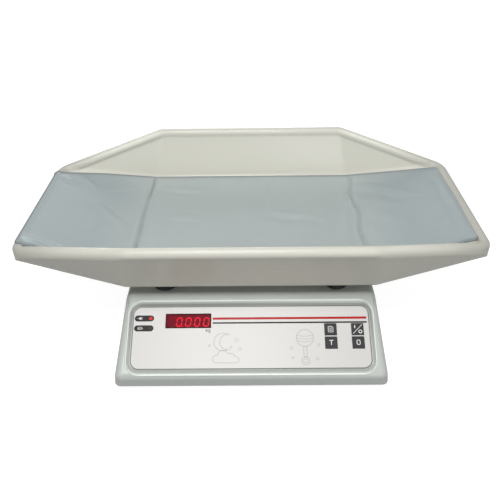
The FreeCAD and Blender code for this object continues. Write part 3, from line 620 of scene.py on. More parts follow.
class Print:
    """Flat printed shapes in the panel's own plane: x across, y up the slope, in millimetres."""

    def __init__(self, top, thick=0.05):
        self.top, self.low = top, top - thick
        self.vertices, self.faces = [], []

    def add(self, outline, faces_of):
        """Adds faces over two copies of an outline, the low one before the top one."""
        first = len(self.vertices)
        for level in (self.low, self.top):
            self.vertices += [(x, y, level) for x, y in outline]
        self.faces += [tuple(first + i for i in face) for face in faces_of]

    def plate(self, outline):
        """A filled shape, its outline anticlockwise."""
        n = len(outline)
        sides = [(i, (i + 1) % n, n + (i + 1) % n, n + i) for i in range(n)]
        self.add(outline, [tuple(reversed(range(n))), tuple(range(n, 2 * n)), *sides])

    def bar(self, left, low, right, high):
        """A plain rectangle."""
        self.plate([(left, low), (right, low), (right, high), (left, high)])

    def band(self, outer, inner):
        """A shape between two outlines of the same point count."""
        n = len(outer)
        m = 2 * n
        faces = []
        for i in range(n):
            j = (i + 1) % n
            faces += [
                (m + i, m + j, m + n + j, m + n + i),
                (j, i, n + i, n + j),
                (i, j, m + j, m + i),
                (n + j, n + i, m + n + i, m + n + j),
            ]
        self.add(list(outer) + list(inner), faces)

    def stroke(self, points, width, closed=False):
        """A pen line along points."""
        left, right = [], []
        n = len(points)
        for i, (x, y) in enumerate(points):
            before = points[(i - 1) % n] if closed or i else points[0]
            after = points[(i + 1) % n] if closed or i < n - 1 else points[-1]
            along = Vector((after[0] - before[0], after[1] - before[1])).normalized()
            side = Vector((-along.y, along.x)) * width / 2
            left.append((x + side.x, y + side.y))
            right.append((x - side.x, y - side.y))
        if closed:
            self.band(right, left)
        else:
            self.plate(right + left[::-1])

    def finish(self, name, material, body, slot, stands_for=()):
        """Sets the shapes on the panel as one piece."""
        points = [PANEL @ (Vector(v) * MM) for v in self.vertices]
        return add_piece(name, points, self.faces, material, body, stands_for)


class Repeat(Tree):
    """A Geometry Nodes tree in the making. It is run once, and a plain mesh is kept."""

    def __init__(self, name, **inputs):
        super().__init__(bpy.data.node_groups.new(name, "GeometryNodeTree"))
        sockets = self.tree.interface
        sockets.new_socket("Geometry", in_out="OUTPUT", socket_type="NodeSocketGeometry")
        self.values = {}
        for title, (kind, value) in inputs.items():
            made = sockets.new_socket(title, in_out="INPUT", socket_type="NodeSocket" + kind)
            self.values[made.identifier] = value
        self.entry = self.tree.nodes.new("NodeGroupInput")

    def given(self, title):
        """One of the tree's own inputs."""
        return Channel(self, self.entry.outputs[title])

    def geometry(self, kind, **values):
        """Adds one of the Geometry Nodes, with values for the sockets of these names."""
        values = {key.replace("_", " "): value for key, value in values.items()}
        return self.node("GeometryNode" + kind, values=values)

    def vector(self, x=0, y=0, z=0):
        """A vector from numbers or channels."""
        return self.node("ShaderNodeCombineXYZ", values={0: x, 1: y, 2: z})

    def mesh(self, geometry, material, place):
        """Runs the tree on a bare carrier and gives its mesh, moved to its place."""
        real = self.geometry("RealizeInstances", Geometry=geometry)
        done = self.geometry("SetMaterial", Geometry=real, Material=material)
        self.feed(self.tree.nodes.new("NodeGroupOutput").inputs[0], done)
        carrier = bpy.data.objects.new("carrier", bpy.data.meshes.new("carrier"))
        bpy.context.scene.collection.objects.link(carrier)
        modifier = carrier.modifiers.new("repeat", "NODES")
        modifier.node_group = self.tree
        for identifier, value in self.values.items():
            modifier[identifier] = value
        seen = carrier.evaluated_get(bpy.context.evaluated_depsgraph_get())
        mesh = bpy.data.meshes.new_from_object(seen)
        carrier.modifiers.remove(modifier)
        bpy.data.objects.remove(carrier)
        mesh.transform(Matrix.Translation(place))
        return mesh


# ---------------------------------------------------------------- mat

# The tray's end ramps: where they start and stop, from its middle, and how high they rise.
RAMP_FROM, RAMP_TO, RAMP_RISE = 140.0, 268.5, 31.5
# The tray's rim at its ends: its radius, and how high its centre is over the floor.
RIM_RADIUS, RIM_UP = 6.5, 26.3
# Half the mat's width, what it loses for each millimetre up a ramp, and the least half in front.
MAT_HALF, MAT_TAPER, MAT_FRONT = 125.5, 0.288, 94.5
MAT_LEFT, MAT_RIGHT = -272.3, 262.3
SEAM = 141
# Each crease runs from one point to another, seen from above, with its height and half its width.
CREASES = (
    ((-263, 74), (-230, 60), 1.1, 4.0),
    ((-246, 86), (-205, 54), 1.4, 4.5),
    ((-219, 27), (-154, -23), 1.8, 5.5),
    ((-282, -74), (-205, -93), 2.2, 3.6),
    ((-196, 62), (-160, 88), 0.9, 5.0),
    ((-132, 93), (-63, 79), 1.3, 4.5),
    ((-112, 12), (-58, 4), 1.5, 5.0),
    ((17, 18), (99, 6), 1.5, 5.5),
    ((18, 108), (30, 28), 0.9, 6.0),
    ((-40, -40), (30, -60), 0.8, 6.5),
    ((143, 92), (226, 30), 1.8, 6.0),
    ((260, 83), (258, 5), 1.0, 4.5),
    ((256, 46), (258, -77), 1.1, 4.0),
    ((144, 74), (129, 34), 1.2, 5.0),
    ((150, 20), (205, -40), 1.1, 6.5),
)


def step(value, low, high):
    """0 below low, 1 above high and a smooth step between them."""
    t = min(1.0, max(0.0, (value - low) / (high - low)))
    return t * t * (3 - 2 * t)


def bell(distance, width):
    """1 at no distance, and less on both sides of it."""
    return math.exp(-((distance / width) ** 2))


def bed(x):
    """Height of the tray's inner face over its floor at a place along it, with the rim."""
    height = max(0.0, abs(x) - RAMP_FROM) * RAMP_RISE / (RAMP_TO - RAMP_FROM)
    off = abs(x) - RAMP_TO
    if abs(off) < RIM_RADIUS:
        height = max(height, RIM_UP + math.sqrt(RIM_RADIUS**2 - off**2))
    return height


def half_width(x, front, corner=6.0):
    """From the mat's middle to one edge: it narrows up the ramps and has round corners."""
    half = MAT_HALF - max(0.0, abs(x) - RAMP_FROM) * MAT_TAPER
    if front:
        half = max(half, MAT_FRONT) - 4 * step(x, 190, 250)
    else:
        half -= 5 * step(-x, 200, 262)
    into = corner - min(x - MAT_LEFT, MAT_RIGHT - x)
    if into > 0:
        half -= corner - math.sqrt(max(0.0, corner**2 - into**2))
    return half


def seams(x, y):
    """How far a place is to the right of each seam between the mat's three panels."""
    left = x + SEAM + 0.8 * math.sin(y / 23)
    right = x - SEAM - 2.4 * math.sin(y / 15 + 0.6) * step(y, -110, -20)
    return left, right


def grime(place):
    """0 to 1 for the painted shade along the mat's edges and in its seams, at a place in metres."""
    x, y = (place / MM - TRAY).xy
    edge = min(half_width(x, y < 0) - abs(y), x - MAT_LEFT, MAT_RIGHT - x + 3.5)
    edge_shade = 0.62 * (1 - step(edge, 2.0, 5.0)) + 0.13 * (1 - step(edge, 3.0, 13.0))
    left, right = seams(x, y)
    return max(edge_shade, 0.32 * bell(left, 1.5), 0.2 * bell(right, 2.2))


def folds(x, y):
    """Height of the seams and folds between the mat's three panels."""
    total = 0.0
    for off in seams(x, y):
        total += 0.8 * bell(abs(off) - 4.4, 2.6) - 2.6 * bell(off, 1.7)
    lazy = x - 124 - 5 * math.sin(y / 26)
    return total + 1.5 * bell(lazy, 8.5) * step(y, -95, -30) * (1 - step(y, 70, 112))


def creased(x, y):
    """Height of the creases and slow waves that use has left."""
    total = 1.5 * noise.noise(Vector((x * 0.013, y * 0.016, 3.1)))
    total += 0.6 * noise.noise(Vector((x * 0.034, y * 0.03, 7.7)))
    for number, ((ax, ay), (bx, by), height, width) in enumerate(CREASES):
        dx, dy = bx - ax, by - ay
        length = math.hypot(dx, dy)
        t = ((x - ax) * dx + (y - ay) * dy) / length**2
        if not 0 < t < 1:
            continue
        side = ((x - ax) * dy - (y - ay) * dx) / length
        if abs(side) > 5 * width:
            continue
        side += width * noise.noise(Vector((t * 2.6, number * 3.7, 0.4)))
        fade = math.sin(math.pi * t)
        dip = 0.6 * bell(side - 1.9 * width, width * 1.3)
        total += 1.9 * height * fade * (bell(side, width * 1.2) - dip)
    return total


def mat_section(station, thickness, creases, across, round_by):
    """One closed ring of the mat, at a place along the tray. Only its points are in metres."""
    front, back = half_width(station, True), half_width(station, False)
    tip = min(station - MAT_LEFT, MAT_RIGHT - station)
    curve = min(1.0, (tip + 0.02) / (thickness / 2))
    fat = thickness * math.sqrt(1 - (1 - curve) ** 2)
    rim = fat / 2

    def spot(v):
        """x, y and base height for a place across the mat, from -1 in front to 1 behind."""
        x, y = station, v * (back if v > 0 else front)
        # The right end isn't cut quite straight.
        if x > RAMP_FROM:
            bow = -1.5 * v * v if v > 0 else v**4
            x += bow * (x - RAMP_FROM) / (MAT_RIGHT - RAMP_FROM)
        # The left end's back corner, the right end and the long edges stand off the tray a
        # little, and the front corners lie tight.
        lift = 0.4 * step(-x, 200, 262) * step(v, 0.8, 1.0)
        lift += step(x, 215, 262) * (0.5 + 0.5 * math.sin(v * 5 + 1))
        lift += 1.6 * step(abs(v), 0.955, 1.0)
        tight = step(abs(x), 190, 240) * step(-v, 0.6, 0.9)
        return x, y, bed(x) + 0.3 + lift * (1 - tight) * creases

    upper, lower = [], []
    for j in range(across + 1):
        v = math.sin((j / across - 0.5) * math.pi) * (1 - rim / back)
        x, y, base = spot(v)
        # The edge is welded flat, and a groove runs 7 mm inside it.
        inside = min(back * (1 - abs(v)), tip)
        welded = 1 - step(inside, 4.0, 7.5)
        height = fat * (1 - 0.28 * welded) - 0.35 * bell(inside - 7, 1.0) * min(1, inside / 4)
        height += creases * (folds(x, y) + creased(x, y)) * step(inside, 0.5, 9)
        upper.append((x, y, base + max(0.35 * fat, height)))
        lower.insert(0, (x, y, base))
    points = []
    for side, away, beyond in ((upper, 1, lower[0]), (lower, -1, upper[0])):
        points += side
        x, y, z = side[-1]
        middle, reach = (z + beyond[2]) / 2, abs(z - beyond[2]) / 2
        for j in range(1, round_by):
            a = math.pi * j / round_by
            points.append((x, y + away * math.sin(a) * rim, middle + away * math.cos(a) * reach))
    return [(Vector(point) + TRAY) * MM for point in points]


def mat_mesh(thickness, creases, across=92, round_by=5):
    """The mat as one closed skin, in stations along the tray that are closer at its ends."""
    near_end = (0, 0.12, 0.4, 0.8, 1.3, 2.0, 3.0, 4.2)
    first, last, count = MAT_LEFT + 5.4, MAT_RIGHT - 5.4, 290
    stations = [MAT_LEFT + off for off in near_end]
    stations += [first + (last - first) * i / count for i in range(count + 1)]
    stations += [MAT_RIGHT - off for off in reversed(near_end)]
    rings = [mat_section(x, thickness, creases, across, round_by) for x in stations]
    vertices, faces = loft(rings)
    low = across + round_by
    rows = [(j, j + 1, low + across - j - 1, low + across - j) for j in range(across)]
    rows.append(tuple(range(across, low + 1)))
    rows.append((*range(low + across, low + across + round_by), 0))
    end = len(vertices) - len(rings[0])
    faces += [tuple(reversed(row)) for row in rows]
    faces += [tuple(end + i for i in row) for row in rows]
    return vertices, faces


# ---------------------------------------------------------------- settings


def colour_setting(name, description, *shown):
    """A colour that a user can change. Its default is given as it looks on screen."""
    return bpy.props.FloatVectorProperty(
        name=name, description=description, subtype="COLOR", size=3, min=0, max=1, default=srgb(*shown)
    )


class TraySettings(bpy.types.PropertyGroup):
    """The tray's plastic."""

    colour: colour_setting("Plastic", "Colour of the tray's plastic", 216, 215, 204)


class MatSettings(bpy.types.PropertyGroup):
    """The folding mat's size and cloth."""

    colour: colour_setting("Cloth", "Colour of the coated cloth", 172, 181, 180)
    thickness: bpy.props.FloatProperty(
        name="Thickness",
        description="How thick the mat is",
        subtype="DISTANCE",
        unit="LENGTH",
        min=0.001,
        max=0.006,
        default=0.0028,
    )
    creases: bpy.props.FloatProperty(
        name="Creases",
        description="How strongly the mat is creased by use, from 0 to 2",
        subtype="FACTOR",
        min=0,
        max=2,
        default=1,
    )


class CasingSettings(bpy.types.PropertyGroup):
    """The electronic base's plastic."""

    colour: colour_setting("Plastic", "Colour of the casing's plastic", 190, 195, 190)


class PanelSettings(bpy.types.PropertyGroup):
    """The printed label, the display and the keys."""

    film: colour_setting("Film", "Colour of the label's film", 204, 202, 199)
    ink: colour_setting("Ink", "Colour of the dark printing and the keys", 60, 60, 62)
    stripe: colour_setting("Stripe", "Colour of the coloured stripe", 178, 20, 26)
    reading: bpy.props.StringProperty(
        name="Reading",
        description="What the display shows, right-aligned in its five places",
        default="0.000",
    )
    glow: bpy.props.FloatProperty(
        name="Glow",
        description="How strongly the lit segments shine",
        min=0,
        max=20,
        default=5.0,
    )


class FeetSettings(bpy.types.PropertyGroup):
    """The grip ribs of the levelling feet."""

    ribs: bpy.props.IntProperty(
        name="Grip Ribs",
        description="Number of ribs round each foot",
        min=6,
        max=60,
        default=28,
    )


class StudioSettings(bpy.types.PropertyGroup):
    """The camera and the lamps."""

    lens: bpy.props.FloatProperty(
        name="Lens",
        description="The camera's focal length",
        subtype="DISTANCE_CAMERA",
        min=20,
        max=200,
        default=42,
    )
    key_power: bpy.props.FloatProperty(
        name="Key Lamp",
        description="Power of the large lamp overhead",
        subtype="POWER",
        unit="POWER",
        min=0,
        max=200,
        default=23.5,
    )
    sky: bpy.props.FloatProperty(
        name="Sky",
        description="Strength of the light from all round",
        min=0,
        max=2,
        default=0.42,
    )


SETTINGS = {
    "baby_scale_tray": TraySettings,
    "baby_scale_mat": MatSettings,
    "baby_scale_casing": CasingSettings,
    "baby_scale_panel": PanelSettings,
    "baby_scale_feet": FeetSettings,
    "baby_scale_studio": StudioSettings,
}


# ---------------------------------------------------------------- marks and repeats


def unit_mark(ink, x, y, high):
    """The unit of mass beside the display."""
    wide = high * 0.5
    ink.stroke([(x, y), (x, y + high)], 0.55)
    ink.stroke([(x + wide, y + high * 0.7), (x + 0.3, y + high * 0.3)], 0.5)
    ink.stroke([(x + 0.5, y + high * 0.36), (x + wide, y)], 0.5)
    g = x + wide * 2.1
    ink.stroke(circle(g, y + high * 0.36, high * 0.32, 14), 0.5, closed=True)
    tail = arc(g, y - high * 0.12, high * 0.32, 0, -150, 8)
    ink.stroke([(g + high * 0.32, y + high * 0.7), *tail], 0.5)


def plug_mark(ink, x, y):
    """A plug with two pins and its cord."""
    ink.plate(rounded(x, y, 2.6, 2.6, 0.6, 3))
    for side in (-0.7, 0.7):
        ink.stroke([(x + 1.2, y + side), (x + 2.7, y + side)], 0.45)
    ink.stroke([(x - 1.2, y), (x - 3.4, y)], 0.45)


def cell_mark(ink, x, y):
    """A battery with three bars."""
    ink.stroke(rounded(x, y, 4.6, 2.6, 0.4, 2), 0.4, closed=True)
    ink.plate(rounded(x + 2.9, y, 0.8, 1.2, 0.2, 2))
    for bar in (-1.3, 0.0, 1.3):
        ink.stroke([(x + bar, y - 0.7), (x + bar, y + 0.7)], 0.6)


def night_sky(ink, x, y):
    """A crescent over a cloud, with stars."""
    pen = 0.45
    moon = arc(x - 2, y + 7, 10, 60, 300, 26) + arc(x + 3.2, y + 7, 8.7, 285, 75, 22)
    ink.stroke(moon, pen, closed=True)
    cloud = []
    for cx, cy, radius, start, end in (
        (x - 9, y - 12, 4.2, 270, 100),
        (x - 2, y - 8.5, 6.0, 175, 45),
        (x + 7, y - 10.5, 4.6, 120, 10),
        (x + 12.5, y - 13, 3.4, 80, -90),
    ):
        cloud += arc(cx, cy, radius, start, end, 9)
    ink.stroke(cloud, pen, closed=True)
    for sx, sy, size in ((13, 9, 3.0), (7, 1, 1.7), (17, -1, 2.1), (-17, 3, 1.9)):
        ink.stroke(star(x + sx, y + sy, size), 0.35, closed=True)


def rattle(ink, x, y):
    """A rattle: a banded ball, a stem and a ring, with stars round it."""
    pen = 0.45
    ink.stroke(circle(x, y + 9, 9.5, 40), pen, closed=True)
    for lift in (-3.2, 0.0, 3.2):
        side = math.sqrt(9.2**2 - lift**2)
        wave = [
            (x - side + 2 * side * i / 14, y + 9 + lift - 1.3 * math.sin(math.pi * i / 14))
            for i in range(15)
        ]
        ink.stroke(wave, 0.35)
    ink.stroke(rounded(x, y - 6.5, 3.4, 12.0, 1.4, 4), pen, closed=True)
    ink.stroke(circle(x, y - 16.5, 4.4, 24), pen, closed=True)
    ink.stroke(circle(x, y - 16.5, 2.3, 18), 0.35, closed=True)
    for sx, sy, size in ((-15, -2, 2.2), (15, 1, 1.8), (13, -14, 2.4), (-14, -13, 1.6)):
        ink.stroke(star(x + sx, y + sy, size, 6), 0.35, closed=True)


def sheet_legend(ink, x, y):
    """A sheet with lines on it, for the printer."""
    corners = ((-2.6, -3.2), (2.6, -3.2), (2.6, 1.8), (1.0, 3.2), (-2.6, 3.2))
    ink.stroke([(x + px, y + py) for px, py in corners], 0.7, closed=True)
    for rise in (-1.5, 0.0, 1.3):
        ink.stroke([(x - 1.5, y + rise), (x + 1.4, y + rise)], 0.5)


def power_legend(ink, x, y):
    """One and nought either side of a stroke."""
    ink.stroke([(x - 5.2, y - 5.2), (x + 5.2, y + 5.2)], 0.6)
    ink.stroke([(x - 3.0, y + 0.9), (x - 3.0, y + 4.6)], 1.0)
    ink.stroke(circle(x + 2.9, y - 2.9, 1.7, 18), 0.9, closed=True)


def tare_legend(ink, x, y):
    """The letter T."""
    ink.stroke([(x - 2.2, y + 2.4), (x + 2.2, y + 2.4)], 0.9)
    ink.stroke([(x, y + 2.4), (x, y - 2.8)], 0.9)


def zero_legend(ink, x, y):
    """A nought."""
    ink.stroke(rounded(x, y, 3.4, 5.2, 1.6, 5), 0.9, closed=True)


# Each key's name, its place on the panel and its legend.
KEYS = (
    ("print", 89, -41.45, sheet_legend),
    ("power", 119, -41.45, power_legend),
    ("tare", 89, -56.55, tare_legend),
    ("zero", 119, -56.55, zero_legend),
)

# The bars that each sign lights: a on top, then clockwise to f, and g in the middle.
SEGMENTS_ON = {
    "0": "abcdef", "1": "bc", "2": "abged", "3": "abgcd", "4": "fgbc", "5": "afgcd",
    "6": "afgedc", "7": "abc", "8": "abcdefg", "9": "abcdfg", "-": "g", " ": "",
}


def places_of(reading, count):
    """The reading as (digit, point after it) for each place, blank on the left."""
    places = []
    for mark in reading:
        if mark == "." and places:
            places[-1] = (places[-1][0], True)
        elif mark in SEGMENTS_ON:
            places.append((mark, False))
    places = places[-count:]
    return [(" ", False)] * (count - len(places)) + places


def show_digit(lit, dim, digit, point, x, y, wide=5.4, high=9.6, bar=1.55, gap=0.25):
    """One seven-segment place: each bar goes to the lit or to the dim print."""
    lean = math.tan(math.radians(7))
    w, h, b = wide / 2, high / 2, bar / 2
    ends = {
        "a": ((-w, h), (w, h)),
        "b": ((w, h), (w, 0)),
        "c": ((w, 0), (w, -h)),
        "d": ((-w, -h), (w, -h)),
        "e": ((-w, 0), (-w, -h)),
        "f": ((-w, h), (-w, 0)),
        "g": ((-w, 0), (w, 0)),
    }
    for name, ((ax, ay), (bx, by)) in ends.items():
        if ay == by:
            left, right = ax + gap, bx - gap
            shape = [
                (left, ay), (left + b, ay - b), (right - b, ay - b),
                (right, ay), (right - b, ay + b), (left + b, ay + b),
            ]
        else:
            top, foot = ay - gap, by + gap
            shape = [
                (ax, top), (ax - b, top - b), (ax - b, foot + b),
                (ax, foot), (ax + b, foot + b), (ax + b, top - b),
            ]
        ink = lit if name in SEGMENTS_ON[digit] else dim
        ink.plate([(x + px + py * lean, y + py) for px, py in shape])
    (lit if point else dim).plate(circle(x + w + 1.5 - h * lean, y - h, 0.75, 12))


def grip_ribs(count, material, middle):
    """Short ribs round a foot's tapered side, for the fingers that turn it."""
    radius, lean = 13.05 * MM, math.radians(-29)
    ribs = Repeat("grip_ribs", Ribs=("Int", count), Radius=("Float", radius), Lean=("Float", lean))
    bar = ribs.geometry("MeshCube", Size=(1.1 * MM, 1.0 * MM, 3.1 * MM))
    bar = ribs.geometry("Transform", Geometry=bar, Rotation=ribs.vector(y=ribs.given("Lean")))
    ring = ribs.geometry("MeshCircle", Vertices=ribs.given("Ribs"), Radius=ribs.given("Radius"))
    turn = ribs.geometry("InputIndex") / ribs.given("Ribs") * (2 * math.pi)
    placed = ribs.geometry("InstanceOnPoints", Points=ring, Instance=bar, Rotation=ribs.vector(z=turn))
    return ribs.mesh(placed, material, middle + Vector((0, 0, 2.75 * MM)))


def cross_screws(material):
    """The four screws under the base, each with a crossed slot in its domed head."""
    low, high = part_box("cover_screws")
    radius = 3.2 * MM
    width, depth = high.x - low.x - 2 * radius, high.y - low.y - 2 * radius
    inputs = {"Width": width, "Depth": depth, "Slot": 0.8 * MM}
    screws = Repeat("cross_screws", **{title: ("Float", value) for title, value in inputs.items()})
    head = screws.geometry(
        "MeshCone", Vertices=40, Radius_Top=radius, Radius_Bottom=2.5 * MM, Depth=1.6 * MM
    )
    slots = []
    for turn in (0, math.pi / 2):
        box = screws.geometry("MeshCube", Size=screws.vector(3.6 * MM, screws.given("Slot"), 1.8 * MM))
        slots.append(screws.geometry("Transform", Geometry=box, Rotation=(0, 0, turn)))
    both = screws.node("GeometryNodeMeshBoolean", {"operation": "UNION"}, {1: slots})
    head = screws.node("GeometryNodeMeshBoolean", {"operation": "DIFFERENCE"}, {0: head, 1: both})
    shank = screws.geometry("MeshCylinder", Vertices=24, Radius=1.5 * MM, Depth=18 * MM)
    shank = screws.geometry("Transform", Geometry=shank, Translation=(0, 0, 10.6 * MM))
    whole = screws.geometry("JoinGeometry", Geometry=[head, shank])
    sides = {"Size X": screws.given("Width"), "Size Y": screws.given("Depth")}
    grid = screws.node("GeometryNodeMeshGrid", None, {**sides, "Vertices X": 2, "Vertices Y": 2})
    placed = screws.geometry("InstanceOnPoints", Points=grid, Instance=whole)
    return screws.mesh(placed, material, under("cover_screws"))


# ---------------------------------------------------------------- the pieces' operators


class BABYSCALE_OT_tray(bpy.types.Operator):
    """Finish the weighing tray"""

    bl_idname = "baby_scale.tray"
    bl_label = "Tray"

    def execute(self, context):
        settings = context.scene.baby_scale_tray
        dress(tray_plastic(settings.colour), "tray_shell")
        return {"FINISHED"}


class BABYSCALE_OT_mat(bpy.types.Operator):
    """Lay the creased mat in the tray"""

    bl_idname = "baby_scale.mat"
    bl_label = "Mat"

    def execute(self, context):
        settings = context.scene.baby_scale_mat
        vertices, faces = mat_mesh(settings.thickness / MM, settings.creases)
        cloth = coated_cloth(settings.colour)
        mat = add_piece("mat_cloth", vertices, faces, cloth, "mat", ["mat"], 60)
        # Painted shade along the mat's edges and in its seams, kept on each point for the cloth's
        # colour.
        layer = mat.data.attributes.new("grime", "FLOAT", "POINT")
        layer.data.foreach_set("value", [grime(v.co) for v in mat.data.vertices])
        return {"FINISHED"}


class BABYSCALE_OT_casing(bpy.types.Operator):
    """Finish the casing's cover and base"""

    bl_idname = "baby_scale.casing"
    bl_label = "Casing"

    def execute(self, context):
        settings = context.scene.baby_scale_casing
        plastic = casing_plastic("casing_plastic", settings.colour)
        dress(plastic, "casing_cover", "casing_base")
        rings = []
        for i in range(12):
            a = math.radians(30 * i)
            out, level = 1.2 * math.cos(a), math.sin(a) - 0.4
            path = rounded(0, PANEL_MIDDLE, 275 + 2 * out, 84.2 + 2 * out, 15 + out)
            rings.append([PANEL @ (Vector((x, y, level)) * MM) for x, y in path])
        rings.append(rings[0])
        vertices, faces = loft(rings)
        # The lip's plastic carries a painted highlight along the ridge.
        lip_highlight = casing_plastic("polished_lip", settings.colour, 0.85)
        add_piece("panel_lip", vertices, faces, lip_highlight, "base")
        return {"FINISHED"}


class BABYSCALE_OT_label(bpy.types.Operator):
    """Finish the panel's film and print on it"""

    bl_idname = "baby_scale.label"
    bl_label = "Label"

    def execute(self, context):
        settings = context.scene.baby_scale_panel
        dress(label_film(settings.film), "panel_label")
        dark = Print(FILM_TOP + 0.04)
        for y in (MAINS_ROW, BATTERY_ROW):
            dark.plate(rounded(-120, y, 21.8, 7.0, 3.4))
        dark.bar(-42.7, -34.1, 130, -32.3)
        unit_mark(dark, -50, -43.2, 3.4)
        ink = printed_ink("dark_ink", shade(settings.ink, 0.3))
        dark.finish("print_dark", ink, "base", "key_plastic")
        red = Print(FILM_TOP + 0.04)
        red.bar(-42.8, -29.4, 130, -26.8)
        stripe = printed_ink("stripe_ink", settings.stripe)
        red.finish("print_stripe", stripe, "base", "lit_red")
        pale = Print(FILM_TOP + 0.06)
        plug_mark(pale, -124.5, MAINS_ROW)
        cell_mark(pale, -124.5, BATTERY_ROW)
        white = printed_ink("white_ink", srgb(214, 214, 212))
        pale.finish("print_marks", white, "base", "label_film")
        # A grey band round the film's edge: painted shadow where the recess wall meets the label.
        rim = Print(FILM_TOP + 0.02)
        outer = rounded(0, PANEL_MIDDLE, 265.9, 71.9, 9.9)
        rim.band(outer, rounded(0, PANEL_MIDDLE, 263.7, 69.7, 8.8))
        shadow = printed_ink("edge_ink", srgb(112, 114, 108))
        rim.finish("painted_edge_shadow", shadow, "base", "casing_plastic")
        grey = Print(FILM_TOP + 0.03)
        night_sky(grey, -29, -62)
        rattle(grey, 60, -60)
        thin = printed_ink("thin_ink", srgb(150, 148, 148))
        grey.finish("print_drawings", thin, "base", "label_film")
        return {"FINISHED"}


class BABYSCALE_OT_display(bpy.types.Operator):
    """Light the display and its lamps"""

    bl_idname = "baby_scale.display"
    bl_label = "Display"

    def execute(self, context):
        settings = context.scene.baby_scale_panel
        dress(tinted_window(srgb(130, 8, 34)), "display_window")
        lit, dim = Print(-4.63, 0.14), Print(-4.63, 0.14)
        x, y = FIRST_DIGIT_AT
        for number, (digit, point) in enumerate(places_of(settings.reading, DIGITS)):
            show_digit(lit, dim, digit, point, x + DIGIT_PITCH * number, y)
        red = glowing("lit_segment", srgb(255, 34, 44), settings.glow)
        lit.finish("digits_lit", red, "base", "lit_red", ["display_segments"])
        dull = unlit("unlit_segment", srgb(92, 26, 38))
        dim.finish("digits_unlit", dull, "base", "dark_red", ["display_segments"])
        for name, y, lens, slot in (
            ("mains_lamp", MAINS_ROW, glowing("lit_lamp", srgb(206, 16, 20), 0.22), "lit_red"),
            ("battery_lamp", BATTERY_ROW, unlit("unlit_lamp", srgb(70, 38, 42)), "dark_red"),
        ):
            dress(lens, name)
            dome = Print(FILM_TOP + 0.07, 0.3)
            dome.plate(circle(-112.8, y, 1.9, 28))
            dome.finish("lens_" + name, lens, "base", slot)
        dress(unlit("display_shell", srgb(30, 12, 16)), "display_block")
        return {"FINISHED"}


class BABYSCALE_OT_keys(bpy.types.Operator):
    """Make the four keys with their legends"""

    bl_idname = "baby_scale.keys"
    bl_label = "Keys"

    def execute(self, context):
        settings = context.scene.baby_scale_panel
        cap = charcoal_key(shade(settings.ink, 0.7))
        white = printed_ink("legend_ink", srgb(226, 226, 224))
        for name, x, y, legend in KEYS:
            dress(cap, "key_" + name)
            marks = Print(KEY_TOP + 0.04)
            legend(marks, x, y)
            marks.finish("legend_" + name, white, "key_" + name, "label_film")
        return {"FINISHED"}


class BABYSCALE_OT_platform(bpy.types.Operator):
    """Finish the load cell, the spider and the posts that carry the tray"""

    bl_idname = "baby_scale.platform"
    bl_label = "Platform"

    def execute(self, context):
        aluminium = machined_aluminium((0.75, 0.76, 0.78))
        dress(aluminium, "cell_spacer_low", "cell_spacer_top", "platform_spider")
        mesh = NODES["load_cell"].data.copy()
        mesh.materials.clear()
        mesh.materials.append(aluminium)
        beam = bpy.data.objects.new("load_cell_beam", mesh)
        context.scene.collection.objects.link(beam)
        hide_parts("load_cell")
        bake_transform(beam)
        dress(
            zinc_plate((0.62, 0.63, 0.64)),
            "platform_posts",
            "platform_screws",
            "cell_base_screws",
            "overload_stops",
            "steel_frame",
        )
        dress(soft_rubber(srgb(26, 26, 25)), "rubber_caps")
        return {"FINISHED"}


class BABYSCALE_OT_electrics(bpy.types.Operator):
    """Finish the boards, the battery, the transformer and their wiring"""

    bl_idname = "baby_scale.electrics"
    bl_label = "Electrics"

    def execute(self, context):
        dress(circuit_board((0.03, 0.17, 0.07)), "main_board", "front_board")
        dress(
            black_moulding(srgb(38, 38, 40)),
            "board_parts",
            "board_pillars",
            "key_switches",
            "power_inlet",
        )
        dress(battery_case(srgb(74, 74, 78)), "battery")
        dress(laminated_iron((0.2, 0.2, 0.21)), "transformer")
        dress(flat_cable(srgb(158, 160, 163)), "ribbon_cable")
        dress(zinc_plate((0.66, 0.66, 0.65)), "battery_strap", "board_screws", "inlet_pins")
        return {"FINISHED"}


class BABYSCALE_OT_feet(bpy.types.Operator):
    """Finish the levelling feet and the screws under the base"""

    bl_idname = "baby_scale.feet"
    bl_label = "Feet"

    def execute(self, context):
        settings = context.scene.baby_scale_feet
        rubber = soft_rubber(srgb(34, 34, 33))
        zinc = zinc_plate((0.6, 0.61, 0.62))
        dress(zinc, "foot_nuts")
        for corner in CORNERS:
            pad = "foot_pad_" + corner
            dress(zinc, "foot_stud_" + corner)
            dress(rubber, pad)
            mesh = grip_ribs(settings.ribs, rubber, under(pad))
            add_mesh("foot_ribs_" + corner, mesh, None, "pad_" + corner)
        mesh = cross_screws(zinc)
        add_mesh("casing_screws", mesh, None, "base", ["cover_screws"])
        return {"FINISHED"}


